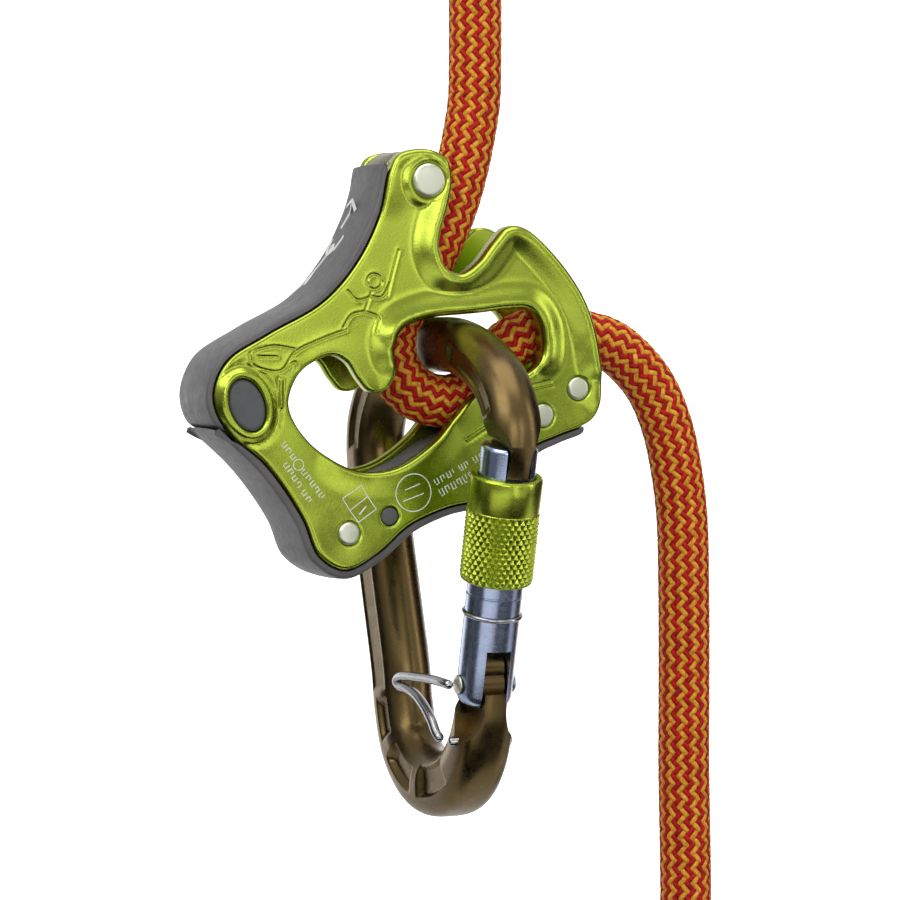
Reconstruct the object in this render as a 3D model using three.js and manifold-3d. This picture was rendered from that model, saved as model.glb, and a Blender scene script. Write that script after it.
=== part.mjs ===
// Assisted-braking rope descender with its screwgate connector and a short sample of rope.
// Millimetres, +Z up. The device frame has X along the plates, Y across them (mid-plane at 0), and the
// whole is shifted at the end so that the part's origin is where the rope's top eye hangs.
import * as THREE from "three";
import { mergeVertices } from "three/addons/utils/BufferGeometryUtils.js";
import Module from "manifold-3d";

const wasm = await Module();
wasm.setup();

// ---- driving dimensions ----
const HANG = [5.4, 5.4, 178];          // where the eye hangs, in the device frame
const ROPE_R = 5.25;                   // 10.5 mm dynamic rope
const GAP = 0.15;                      // running clearance round pins and bosses
const PLATE_IN = 6.5;                  // inner face of each plate, from the mid-plane
const PLATE_OUT = 9.5;                 // main outer face
const RIM_OUT = 11.1;                  // top of the raised rims
const COVER_HALF = 9.0;                // half width of the moulded covers' outer band
const WEB_HALF = 6.2;                  // half width of the covers between the plates
const TOP_RIVET = [-8.5, 53.3, 3.35];  // x, z, radius
const LOWER_RIVET = [-25, -15.7, 2.27];
const BRAKE_RIVET_A = [23.8, 12.3, 2.3];
const BRAKE_RIVET_B = [16.2, 7, 2.3];
const PEG = [-16.5, -12.5, 1.8];
const BOSS = { x: -46, z: 9.5, a: 3.45, b: 5.2, tilt: 21 };
const BAR_R = 5.5;                     // connector bar
const BOTTOM_R = 6.6;                  // in-plane half depth of the spine and bottom bow
const CONNECTOR_X = -1.5;
const CONNECTOR_TURN = 2.5;            // degrees about Z from square to the plates
const PIVOT = [-19.7, -44.95];         // gate hinge in the connector plane: u across, z up
const GATE_LEAN = 13.7;                // degrees the gate leans outward
const GATE_R = 5.5;
const GATE_TOP = 48.5;                 // distances along the gate from its hinge
const GATE_FOOT = -4.3;
const FORK_SLOT = 5.2;
const TONGUE = 4.5;                    // thickness of the body's nose and hinge tongues
const NOSE_END = 43.2;
const NOSE_SHOULDER = 49.5;
const NECK_R = 12;                     // radius of the hollows that thin the body down to the nose
const HEEL_R = 8.2;                    // and of those beside the hinge
const KEEPER_HOLE = [-16.9, -56.4];
const SLEEVE = { foot: 21.2, length: 21.3, r: 7.2, bore: 5.65 };
const RING_AT = 14.5;
const WIRE_R = 0.95;

// ---- materials ----
function finish(color, roughness, metalness) {
  return new THREE.MeshStandardMaterial({ color, roughness, metalness });
}

// ---- helpers ----
function solid(geometry) {
  const plain = geometry.index ? geometry.toNonIndexed() : geometry.clone();
  plain.deleteAttribute("normal");
  plain.deleteAttribute("uv");
  const merged = mergeVertices(plain, 1e-4);
  return new wasm.Manifold(new wasm.Mesh({
    numProp: 3,
    vertProperties: merged.attributes.position.array,
    triVerts: new Uint32Array(merged.index.array),
  }));
}

function geometryOf(made) {
  const mesh = made.getMesh();
  const out = new THREE.BufferGeometry();
  out.setAttribute("position", new THREE.BufferAttribute(new Float32Array(mesh.vertProperties), 3));
  out.setIndex(new THREE.BufferAttribute(new Uint32Array(mesh.triVerts), 1));
  out.computeVertexNormals();
  return out;
}

function join(...geometries) {
  return geometryOf(geometries.map(solid).reduce((all, next) => all.add(next)));
}

function cut(base, ...tools) {
  return geometryOf(tools.map(solid).reduce((all, tool) => all.subtract(tool), solid(base)));
}

function common(a, b) {
  return geometryOf(solid(a).intersect(solid(b)));
}

// Smooth closed outline through a few points, as a list of Vector2.
function smooth(points, count) {
  const curve = new THREE.CatmullRomCurve3(points.map(([x, y]) => new THREE.Vector3(x, y, 0)), true, "centripetal");
  return curve.getSpacedPoints(count).slice(0, -1).map((p) => new THREE.Vector2(p.x, p.y));
}

// The same outline grown by a distance along its outward normals.
function grown(outline, distance) {
  const n = outline.length;
  const sign = THREE.ShapeUtils.isClockWise(outline) ? -1 : 1;
  return outline.map((p, i) => {
    const along = outline[(i + 1) % n].clone().sub(outline[(i + n - 1) % n]).normalize();
    return new THREE.Vector2(p.x + sign * distance * along.y, p.y - sign * distance * along.x);
  });
}

function circle(x, z, r, count = 32) {
  return Array.from({ length: count }, (_, i) => {
    const turn = (2 * Math.PI * i) / count;
    return new THREE.Vector2(x + r * Math.cos(turn), z + r * Math.sin(turn));
  });
}

function ellipse(spec, extra, count = 32) {
  const centre = new THREE.Vector2(spec.x, spec.z);
  return circle(0, 0, 1, count).map((p) => new THREE.Vector2(p.x * (spec.a + extra), p.y * (spec.b + extra))
    .rotateAround(new THREE.Vector2(), THREE.MathUtils.degToRad(spec.tilt)).add(centre));
}

// A flat outline in the XZ plane made solid between two Y values.
function slab(outline, yLow, yHigh) {
  const made = new THREE.ExtrudeGeometry(new THREE.Shape(outline), { depth: yHigh - yLow, bevelEnabled: false });
  return made.rotateX(Math.PI / 2).translate(0, yHigh, 0);
}

// A round bar along Y.
function barY(x, z, r, yLow, yHigh, count = 32) {
  return new THREE.CylinderGeometry(r, r, yHigh - yLow, count).translate(x, (yLow + yHigh) / 2, z);
}

// An oval section swept along a smooth path.
function sweep(points, a, b, sides, steps) {
  const path = new THREE.CatmullRomCurve3(points.map((p) => new THREE.Vector3(...p)), false, "centripetal");
  const section = new THREE.Shape(circle(0, 0, 1, sides).map((p) => new THREE.Vector2(p.x * a, p.y * b)));
  return new THREE.ExtrudeGeometry(section, { extrudePath: path, steps, bevelEnabled: false });
}

// ---- side plates ----
const PLATE_OUTER = smooth([
  [-16.5, 54.7], [-14.7, 58.2], [-9.7, 59.5], [-5, 58], [-3.8, 54.7], [-4.3, 49.3], [-6.2, 42.6], [-6.3, 39.4],
  [-4.6, 36], [-1.6, 35.2], [1.7, 37.3], [5, 41.3], [8.2, 44.4], [11.7, 44.3], [18.3, 39], [25, 30],
  [28.2, 20], [28.7, 9.5], [27, 6], [19.7, 3], [14, 0.6], [9, -5.6], [4, -9.2], [-4.3, -11],
  [-12.3, -14.3], [-19, -19.7], [-25.7, -22.8], [-31, -20], [-34.3, -12.7], [-41.7, -2.3], [-50.3, 5.3],
  [-52.5, 11.3], [-50, 17.7], [-41.7, 23], [-30.3, 29.3], [-23, 37.3], [-18.3, 46.7],
], 110);
const PLATE_OPENING = smooth([
  [-37.3, 10], [-35.7, 14.7], [-33, 17.3], [-28.3, 19], [-25.3, 17.6], [-22.9, 14.2], [-20.5, 11.9], [-17, 12.4],
  [-15.3, 15], [-15.6, 21.3], [-14, 24.2], [-9, 26.2], [1.7, 27.3], [9, 28.1], [12.6, 27.9], [14.8, 25.6],
  [15.7, 20], [14.4, 16.7], [9.5, 14], [1.7, 11.3], [-2.6, 6.9], [-7, 2], [-15, -3], [-23, -3.5],
  [-31.7, 1], [-36.2, 6.3],
], 90);
const RIM_ZONE = smooth([
  [-1, 56], [-6.8, 48.5], [-9.6, 43], [-10.6, 37], [-13.5, 32], [-17.6, 27.5], [-19, 22], [-13.5, 20.5],
  [0, 24], [13, 21], [19.6, 19], [19.4, 26], [16, 31.4], [9, 33.4], [7, 35.2], [9.4, 39],
  [13, 39.4], [18, 34.6], [22.4, 27], [24.4, 18], [25.4, 13.6], [32, 13], [34, 26], [22, 44],
  [9, 51], [1, 46], [-3, 40], [-1.5, 47],
], 64);

function platePair() {
  const base = cut(slab(PLATE_OUTER, -PLATE_OUT, -PLATE_IN), slab(PLATE_OPENING, -20, 20));
  const full = cut(slab(PLATE_OUTER, -RIM_OUT, -PLATE_OUT + 0.5), slab(PLATE_OPENING, -20, 20));
  const rim = common(full, slab(RIM_ZONE, -20, 20));
  const topBoss = barY(TOP_RIVET[0], TOP_RIVET[1], 5.0, -PLATE_OUT - 0.8, -PLATE_OUT + 0.5, 40);
  const collar = slab(ellipse(BOSS, 1.8, 40), -PLATE_OUT - 0.9, -PLATE_OUT + 0.5);
  const holes = [TOP_RIVET, LOWER_RIVET, BRAKE_RIVET_A, BRAKE_RIVET_B, PEG].map(
    ([x, z, r]) => barY(x, z, r + GAP, -20, 20),
  );
  const front = cut(join(base, rim, topBoss, collar), slab(ellipse(BOSS, GAP), -20, 20), ...holes);
  const rear = geometryOf(solid(front).mirror([0, 1, 0]));
  return [front, rear];
}

// ---- moulded covers along the plates' edge ----
const UPPER_COVER = smooth([
  [-17.4, 56.6], [-18.6, 51.6], [-20.1, 47], [-24.7, 38.3], [-31.4, 30.8], [-42.4, 24.7], [-51.3, 18.9],
  [-54.2, 11.6], [-52.7, 6], [-50, 4.1], [-46, 2.5], [-41.5, 2.2], [-39.2, 5.5], [-39.2, 12], [-36.6, 17.5],
  [-29, 22.3], [-23, 28], [-18.8, 35], [-16, 43], [-15.2, 49.6], [-15.6, 54.4],
], 110);
const LOWER_COVER = smooth([
  [-52.6, 5], [-50.2, 2.7], [-43.2, -3.9], [-36.1, -13.6], [-32.6, -21.2], [-25.6, -24.9], [-17.8, -21.4],
  [-11.2, -16.1], [-3.8, -12.9], [4.8, -11], [10.2, -7.6], [15, -1.3], [20.3, 1.2], [25.6, 3.4], [25.4, 5.2],
  [20, 3.9], [13.5, 2.6], [6, 4], [1, 3.9], [-5, 1.6], [-11.5, -2.4], [-19, -4.8], [-28.8, -2.3],
  [-35, 3], [-38.4, 3.4], [-41.2, 1.8], [-46.2, 2.1], [-50.4, 3.8],
], 130);

function cover(outline, ...bosses) {
  const around = grown(PLATE_OUTER, 0.35);
  const body = slab(outline, -COVER_HALF, COVER_HALF);
  return join(cut(body, slab(around, -20, -WEB_HALF), slab(around, WEB_HALF, 20)), ...bosses);
}

function upperCover() {
  return cover(UPPER_COVER, slab(ellipse(BOSS, 0), -PLATE_OUT - 0.5, PLATE_OUT + 0.5));
}

function lowerCover() {
  const peg = barY(PEG[0], PEG[1], PEG[2], -PLATE_OUT + 0.1, PLATE_OUT - 0.1);
  const made = cover(LOWER_COVER, peg);
  return cut(made, barY(LOWER_RIVET[0], LOWER_RIVET[1], LOWER_RIVET[2] + GAP, -20, 20));
}

// ---- rivets and spacers ----
function rivet([x, z, r], reach) {
  const profile = [[0, -reach], [r * 0.6, -reach + 0.05], [r * 0.9, -reach + 0.2], [r, -reach + 0.5],
    [r, reach - 0.5], [r * 0.9, reach - 0.2], [r * 0.6, reach - 0.05], [0, reach]];
  return new THREE.LatheGeometry(profile.map(([a, b]) => new THREE.Vector2(a, b)), 24).translate(x, 0, z);
}

function spacer([x, z, r], wall) {
  return cut(barY(x, z, r + wall, -WEB_HALF, WEB_HALF), barY(x, z, r + GAP, -20, 20));
}

// A thin pad between the plates, round the top lobe where the cover stops.
function topLiner() {
  const outline = smooth([
    [-16, 56.4], [-14.4, 58.1], [-12.1, 59.1], [-9.7, 59.4], [-7, 59], [-5.5, 58.2], [-5.9, 57.4], [-8, 57.85],
    [-10, 57.75], [-12.2, 57.1], [-13.9, 55.9], [-14.9, 54.9],
  ], 48);
  return slab(outline, -WEB_HALF, WEB_HALF);
}

// ---- connector body, drawn in its own plane: x across (+ to the spine), y up, z through ----
const BODY_PATH = [
  [-31.8, -6], [-32.7, 0], [-31.9, 7], [-27, 13.6], [-18, 18.2], [-8, 20.7], [0, 21.1], [8, 20.7], [18, 18.2], [27, 12.9],
  [32.3, 5.6], [33.4, 0], [32, -8], [25.7, -28], [20, -46], [18.9, -52], [15.6, -60], [8.6, -65.3], [0, -66.8],
  [-8.6, -64.6], [-15.2, -58.8], [-18.6, -52], [-19.7, -45.8],
];

function disc(x, y, r, zLow, zHigh, count = 32) {
  return new THREE.CylinderGeometry(r, r, zHigh - zLow, count)
    .rotateX(Math.PI / 2).translate(x, y, (zLow + zHigh) / 2);
}

function block(xLow, xHigh, yLow, yHigh, zLow, zHigh) {
  return new THREE.BoxGeometry(xHigh - xLow, yHigh - yLow, zHigh - zLow)
    .translate((xLow + xHigh) / 2, (yLow + yHigh) / 2, (zLow + zHigh) / 2);
}

function connectorBody() {
  const [px, py] = PIVOT;
  const half = TONGUE / 2;
  const ring = sweep(BODY_PATH.map(([x, y]) => [x, y, 0]), BAR_R, BAR_R, 14, 72);
  const bow = sweep(BODY_PATH.slice(12, 21).map(([x, y]) => [x, y, 0]), BOTTOM_R, BAR_R, 14, 32);
  const lean = THREE.MathUtils.degToRad(GATE_LEAN);
  const tongueTip = [px - 3.5 * Math.sin(lean), py + 3.5 * Math.cos(lean)];
  const tongue = join(disc(px, py, 4.3, -half, half), disc(...tongueTip, 3.4, -half, half));
  const noseZone = block(-50, -20, -20, 12, -10, 10);
  const shoulder = common(noseZone, disc(px, py, NOSE_SHOULDER, -10, 10, 96));
  const shoulders = cut(shoulder, block(-60, 0, -30, 20, -half, half));
  const noseEnd = common(noseZone, disc(px, py, NOSE_END, -10, 10, 96));
  const cheeks = cut(disc(px, py, 6.2, -10, 10), block(-60, 0, -80, 0, -half, half));
  const overTongue = common(cut(disc(px, py, 12, -half - 0.01, half + 0.01), disc(px, py, 4.3, -10, 10),
    disc(...tongueTip, 3.4, -10, 10)), block(-60, 0, py + 0.5, 0, -10, 10));
  const bored = [disc(px, py, 1.75 + GAP, -20, 20, 24), disc(...KEEPER_HOLE, WIRE_R + GAP, -20, 20, 24)];
  const scoops = [-1, 1].map((side) => new THREE.CylinderGeometry(NECK_R, NECK_R, 24, 48)
    .rotateZ(Math.PI / 2).translate(-32, -1, side * (half + 0.05 + NECK_R)));
  const heels = [-1, 1].map((side) => new THREE.CylinderGeometry(HEEL_R, HEEL_R, 24, 48)
    .rotateZ(Math.PI / 2).translate(-29.5, py - 5.1, side * (half + 0.05 + HEEL_R)));
  const throughSleeve = lathe([[0, 0], [5.3, 0], [5.3, 43.5], [6.1, 48], [9, 54], [0, 54]], 48)
    .rotateZ(lean).translate(px, py, 0);
  const noseTrim = cut(block(-50, -20, -20, 7, -10, 10), throughSleeve);
  const hollows = [...scoops, ...heels, noseTrim];
  const made = cut(join(ring, bow, tongue), shoulders, noseEnd, cheeks, overTongue, ...hollows, ...bored);
  return made;
}

// ---- gate and what is on it, drawn along +y from its hinge ----
function lathe(points, count = 32) {
  return new THREE.LatheGeometry(points.map(([a, b]) => new THREE.Vector2(a, b)), count);
}

function gateBody() {
  const half = FORK_SLOT / 2;
  const tube = lathe([[0, GATE_FOOT], [GATE_R - 2.3, GATE_FOOT], [GATE_R - 0.8, GATE_FOOT + 0.6],
    [GATE_R - 0.1, GATE_FOOT + 1.7], [GATE_R, GATE_FOOT + 2.5],
    [GATE_R, RING_AT - 0.5], [GATE_R - 0.4, RING_AT - 0.5], [GATE_R - 0.4, RING_AT + 0.5], [GATE_R, RING_AT + 0.5],
    [GATE_R, 18.4], [GATE_R - 0.15, 18.6], [GATE_R, 18.8], [GATE_R, GATE_TOP - 1], [GATE_R - 1, GATE_TOP],
    [0, GATE_TOP]]);
  const topSlot = block(-10, 10, NOSE_END - 1.2, 60, -half, half);
  const footSlot = block(-10, 10, -20, 8.1, -half, half);
  const bore = lathe([[0, 7.5], [2.35, 7.5], [2.35, 18], [0, 18]], 24);
  return cut(tube, topSlot, footSlot, bore, disc(0, 0, 1.75 + GAP, -20, 20, 24));
}

function screwSleeve() {
  const { foot, length, r, bore } = SLEEVE;
  const top = foot + length;
  return lathe([[bore + 0.5, foot], [r - 0.75, foot], [r - 0.3, foot + 0.35], [r, foot + 1.2], [r, top - 6.4],
    [r - 0.1, top - 6.2], [r - 0.1, top - 0.5], [r - 0.6, top], [bore + 0.5, top], [bore, top - 0.5],
    [bore, foot + 1.9], [bore + 0.5, foot + 1.9], [bore + 0.5, foot]]);
}

function sleeveRing() {
  const { foot, bore } = SLEEVE;
  return lathe([[bore, foot + 0.15], [bore + 0.4, foot + 0.15], [bore + 0.4, foot + 1.7], [bore, foot + 1.7],
    [bore, foot + 0.15]]);
}

function stopRing() {
  return new THREE.TorusGeometry(GATE_R + 0.08, 0.42, 6, 32).rotateX(Math.PI / 2).translate(0, RING_AT, 0);
}

function gatePlunger() {
  return lathe([[0, 7.2], [1.2, 7.3], [2.1, 7.9], [2.1, 10.6], [0, 10.6]], 24);
}

function gateSpring() {
  const turns = 5;
  const points = Array.from({ length: turns * 8 + 1 }, (_, i) => {
    const turn = (i * Math.PI) / 4;
    return [1.6 * Math.cos(turn), 11.1 + (i / (turns * 8)) * 6.2, 1.6 * Math.sin(turn)];
  });
  return sweep(points, 0.35, 0.35, 5, 48);
}

function hingePin() {
  const shank = disc(0, 0, 1.75, -5.9, 5.9, 24);
  const collar = disc(0, 0, 1.95, -6.3, -5.75, 24);
  const head = disc(0, 0, 1.95, 5.75, 6.3, 24);
  return join(shank, collar, head);
}

// ---- wire keeper across the connector's bottom, in the connector's frame ----
function wireKeeper() {
  return sweep([[-20.4, -45, -7.5], [-18.4, -44.7, -7.9], [-13.3, -44.5, -8], [-6.4, -44.7, -8], [0, -45, -8],
    [3.5, -45.5, -8], [4.9, -46.4, -8], [3.4, -47.2, -8], [0, -47.4, -8], [-4.6, -48.3, -8], [-8.4, -50, -8],
    [-12, -52.4, -8], [-14.6, -54.9, -8], [-16.2, -56.1, -7.7]], WIRE_R, WIRE_R, 8, 48);
}

function keeperPin() {
  const shank = disc(...KEEPER_HOLE, WIRE_R, -6.55, 6, 20);
  const head = new THREE.SphereGeometry(1.9, 20, 12).scale(1, 1, 0.6).translate(...KEEPER_HOLE, 5.9);
  return join(shank, cut(head, block(-30, 0, -70, -40, -10, 5.65)));
}

// ---- rope ----
const ROPE_LIVE = [
  [2.6, 0, 56.2], [4.3, 0, 64], [5.2, 0, 70], [5.4, 0, 78], [5.4, 0, 96], [5.4, 0, 118], [5.4, -0.4, 130],
  [5.4, -4, 141], [5.4, -9.6, 153], [5.4, -11.4, 165], [5.4, -7.4, 177], [5.4, 2, 183], [5.4, 12, 181.6],
  [5.4, 20.2, 173], [5.4, 22.3, 163], [5.4, 19.6, 151.5], [5.4, 14.6, 141], [5.4, 11.3, 130], [5.4, 10.9, 118],
  [5.4, 10.9, 100],
];
const ROPE_LOOP = [
  [2.5, 0, 55.8], [0.4, 0, 49], [-2.6, 0, 42], [-5.9, 0, 35.5], [-9.6, 0, 29.6], [-12, 0, 25.6], [-12.9, 0, 21.8],
  [-12.3, 0, 17.4], [-10, 0, 13.6], [-6.4, 0, 10.9], [-1.5, 0, 9.8], [3.4, 0, 10.9], [7, 0, 13.6],
  [9.6, 0, 17.6], [12.8, 0, 21], [18, 0, 23.1], [24, 0, 23.4], [28.5, 0, 22.85],
  [30.7, 0, 22.32],
];
const ROPE_BRAKE = [
  [31.2, 0, 22.2], [33, 0, 21.8], [36.2, 0, 20.3], [40.5, 0, 16.8], [44.6, 0, 11.8], [48, 0, 4.2], [50, 0, -4],
  [51.4, 0, -14], [51.9, 0, -30], [52, 0, -50], [52, 0, -66], [52.3, 0, -80], [52.5, 0, -92], [52.5, 0, -116],
];

function ropeTube(points, steps) {
  return sweep(points, ROPE_R, ROPE_R, 12, steps);
}

function endSleeve() {
  const foot = -118.5;
  return new THREE.LatheGeometry([[0, foot], [5.2, foot], [6.1, foot + 0.8], [6.1, foot + 17.6], [5.7, foot + 18.2],
    [5.35, foot + 18.2], [5.35, foot + 2.3], [0, foot + 2.3]].map(([a, b]) => new THREE.Vector2(a, b)), 24)
    .rotateX(Math.PI / 2).translate(52.5, 0, 0);
}

// A stitched cover round both legs of the eye.
function eyeSleeve() {
  const outline = (extra) => {
    const r = ROPE_R + extra;
    const arc = (cy, start) => Array.from({ length: 13 }, (_, i) => {
      const turn = start + (Math.PI * i) / 12;
      return new THREE.Vector2(5.4 + r * Math.cos(turn), cy + r * Math.sin(turn));
    });
    return [...arc(10.9, 0), ...arc(0, Math.PI)];
  };
  const tall = (extra, low, high) => new THREE.ExtrudeGeometry(
    new THREE.Shape(outline(extra)), { depth: high - low, bevelEnabled: false }).translate(0, 0, low);
  return cut(tall(1.3, 95.5, 123), tall(0.2, 90, 130));
}

// ---- assembly ----
const LIME = finish(0xa9bf3c, 0.32, 0.85);
const NYLON = finish(0x5f5f61, 0.62, 0.0);
const STEEL = finish(0xd6d6cc, 0.35, 0.9);
const BRONZE = finish(0x6e6242, 0.38, 0.85);
const SILVER = finish(0xb4bac8, 0.3, 0.9);
const CORD = finish(0xb83a26, 0.9, 0.0);
const SHRINK = finish(0x1c1c1e, 0.55, 0.0);

function add(group, name, geometry, material) {
  const made = new THREE.Mesh(geometry, material.clone());
  made.name = name;
  group.add(made);
}

function buildDevice(group) {
  const [front, rear] = platePair();
  add(group, "front_plate", front, LIME);
  add(group, "rear_plate", rear, LIME);
  add(group, "upper_cover", upperCover(), NYLON);
  add(group, "lower_cover", lowerCover(), NYLON);
  add(group, "top_rivet", rivet(TOP_RIVET, PLATE_OUT + 1.3), STEEL);
  add(group, "top_spacer", spacer(TOP_RIVET, 0.8), STEEL);
  add(group, "top_liner", topLiner(), NYLON);
  add(group, "lower_rivet", rivet(LOWER_RIVET, PLATE_OUT + 0.5), STEEL);
  add(group, "brake_rivet_upper", rivet(BRAKE_RIVET_A, PLATE_OUT + 0.5), STEEL);
  add(group, "brake_rivet_lower", rivet(BRAKE_RIVET_B, PLATE_OUT + 0.5), STEEL);
  add(group, "brake_spacer_upper", spacer(BRAKE_RIVET_A, 1.5), STEEL);
  add(group, "brake_spacer_lower", spacer(BRAKE_RIVET_B, 1.5), STEEL);
}

function buildGate(group) {
  add(group, "gate_body", gateBody(), SILVER);
  add(group, "screw_sleeve", screwSleeve(), LIME);
  add(group, "sleeve_ring", sleeveRing(), SHRINK);
  add(group, "gate_stop_ring", stopRing(), STEEL);
  add(group, "gate_plunger", gatePlunger(), STEEL);
  add(group, "gate_spring", gateSpring(), STEEL);
  add(group, "hinge_pin", hingePin(), STEEL);
}

function buildConnector(group) {
  add(group, "connector_body", connectorBody(), BRONZE);
  add(group, "wire_keeper", wireKeeper(), STEEL);
  add(group, "keeper_pin", keeperPin(), STEEL);
  const gate = new THREE.Group();
  gate.name = "gate";
  gate.position.set(PIVOT[0], PIVOT[1], 0);
  gate.rotation.z = THREE.MathUtils.degToRad(GATE_LEAN);
  buildGate(gate);
  group.add(gate);
}

function buildRope(group) {
  add(group, "rope_live", ropeTube(ROPE_LIVE, 60), CORD);
  add(group, "rope_loop", ropeTube(ROPE_LOOP, 52), CORD);
  add(group, "rope_brake", ropeTube(ROPE_BRAKE, 34), CORD);
  add(group, "eye_sleeve", eyeSleeve(), SHRINK);
  add(group, "end_sleeve", endSleeve(), SHRINK);
}

const device = new THREE.Group();
device.name = "descender";
device.position.set(-HANG[0], -HANG[1], -HANG[2]);
buildDevice(device);

const turn = THREE.MathUtils.degToRad(CONNECTOR_TURN);
const connector = new THREE.Group();
connector.name = "connector";
connector.position.set(CONNECTOR_X, 0, 0);
connector.quaternion.setFromRotationMatrix(new THREE.Matrix4().makeBasis(
  new THREE.Vector3(-Math.sin(turn), Math.cos(turn), 0),
  new THREE.Vector3(0, 0, 1),
  new THREE.Vector3(Math.cos(turn), Math.sin(turn), 0),
));
buildConnector(connector);
device.add(connector);
buildRope(device);

const part = new THREE.Group();
part.name = "rope_descender";
part.add(device);

export default part;
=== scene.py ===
# %% [markdown]
# # A rope descender, rove and hanging
#
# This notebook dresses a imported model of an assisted-braking descender: two stamped plates,
# a forged connector and a braided rope. The CAD model is the fixed frame. Every piece made here
# is measured in the same device frame: millimetres, X along the plates, Y across them, Z up.

# %% Load the frame
import math

import bmesh
import bpy
import numpy as np
from mathutils import Matrix, Vector, geometry


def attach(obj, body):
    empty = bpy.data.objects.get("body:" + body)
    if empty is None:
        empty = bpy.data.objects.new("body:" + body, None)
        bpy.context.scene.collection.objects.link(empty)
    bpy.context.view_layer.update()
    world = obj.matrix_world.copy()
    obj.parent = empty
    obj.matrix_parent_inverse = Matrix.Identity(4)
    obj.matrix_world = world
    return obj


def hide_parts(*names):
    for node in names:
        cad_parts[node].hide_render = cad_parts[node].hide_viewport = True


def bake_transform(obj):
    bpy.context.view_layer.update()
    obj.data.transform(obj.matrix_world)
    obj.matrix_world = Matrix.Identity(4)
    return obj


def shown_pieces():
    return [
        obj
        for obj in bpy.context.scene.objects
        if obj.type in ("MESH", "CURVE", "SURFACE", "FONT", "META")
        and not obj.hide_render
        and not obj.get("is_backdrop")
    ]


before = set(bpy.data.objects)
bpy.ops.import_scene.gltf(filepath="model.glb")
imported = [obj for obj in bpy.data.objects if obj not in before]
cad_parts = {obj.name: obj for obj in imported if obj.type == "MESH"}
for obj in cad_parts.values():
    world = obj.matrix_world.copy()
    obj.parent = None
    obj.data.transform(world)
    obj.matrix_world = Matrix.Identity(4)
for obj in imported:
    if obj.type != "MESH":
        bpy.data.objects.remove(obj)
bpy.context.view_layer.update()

# %% [markdown]
# ## One place to turn millimetres into the row frame
# The drawing's zero is the middle of the device, but the whole rig hangs from the eye of the rope.
# A single helper moves points from one to the other, so no number below ever mentions metres.

# %% Device frame to row frame
HANG = np.array([5.4, 5.4, 178.0])


def at(points):
    return (np.asarray(points, float) - HANG) / 1000.0


def add_object(name, data):
    made = bpy.data.objects.new(name, data)
    bpy.context.scene.collection.objects.link(made)
    return made


def grid_faces(shape, base=0, closed=False, caps=True):
    """Faces over a grid of rings, numbered from base; an open grid gets a cap at each end."""
    n, k = shape[:2]
    index = base + np.arange(n * k).reshape(n, k)
    a, b = (index, np.roll(index, -1, 0)) if closed else (index[:-1], index[1:])
    faces = np.stack([a, np.roll(a, -1, 1), np.roll(b, -1, 1), b], axis=-1).reshape(-1, 4).tolist()
    return faces + [index[0][::-1].tolist(), index[-1].tolist()] if caps and not closed else faces


def run_of(line):
    """Length along a line at each of its points."""
    return np.concatenate([[0], np.cumsum(np.linalg.norm(np.diff(line, axis=0), axis=1))])


def along_line(s, run, line):
    """Points of a line at the lengths s."""
    return np.column_stack([np.interp(s, run, line[:, k]) for k in range(line.shape[1])])


def toward(azimuth, height):
    """The way to a place at so many degrees round and up; zero is straight out in front."""
    a, e = math.radians(azimuth), math.radians(height)
    return Vector((math.sin(a) * math.cos(e), -math.cos(a) * math.cos(e), math.sin(e)))


def new_piece(name, verts_mm, faces, body, replaces=(), smooth=True):
    mesh = bpy.data.meshes.new(name)
    mesh.from_pydata([tuple(p) for p in at(verts_mm)], [], [tuple(int(i) for i in f) for f in faces])
    mesh.update()
    piece = add_object(name, mesh)
    if smooth:
        mesh.shade_smooth()
    if body is not None:
        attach(piece, body)
    if replaces:
        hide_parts(*replaces)
    return piece


# %% [markdown]
# ## Where the camera stands
# Small gear is best seen from well back with a long lens, so that the plates keep their true
# outline. Seventy centimetres away, a little to the left, and almost level does it.

# %% Camera
VIEW_AZIMUTH, VIEW_HEIGHT, VIEW_DISTANCE = -22.0, 2.0, 0.7
turn = math.radians(VIEW_AZIMUTH)
back = toward(VIEW_AZIMUTH, VIEW_HEIGHT)
camera = add_object("camera", bpy.data.cameras.new("camera"))
camera.data.lens = 140
camera.data.sensor_width = 36
camera.data.clip_start, camera.data.clip_end = 0.05, 20
camera.location = Vector(at([0, 0, 0])) + back * VIEW_DISTANCE
camera.rotation_mode = "QUATERNION"
camera.rotation_quaternion = (-back).to_track_quat("-Z", "Y")
bpy.context.scene.camera = camera

# %% [markdown]
# ## The rope's road
# A rope keeps its length, so its road is drawn first and everything else is fitted round it.
# It comes down the notch, tucks under the connector's bar and leaves over the brake edge.
# Both ends fall away straight. The road is a smooth line through a few chosen points.

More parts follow.
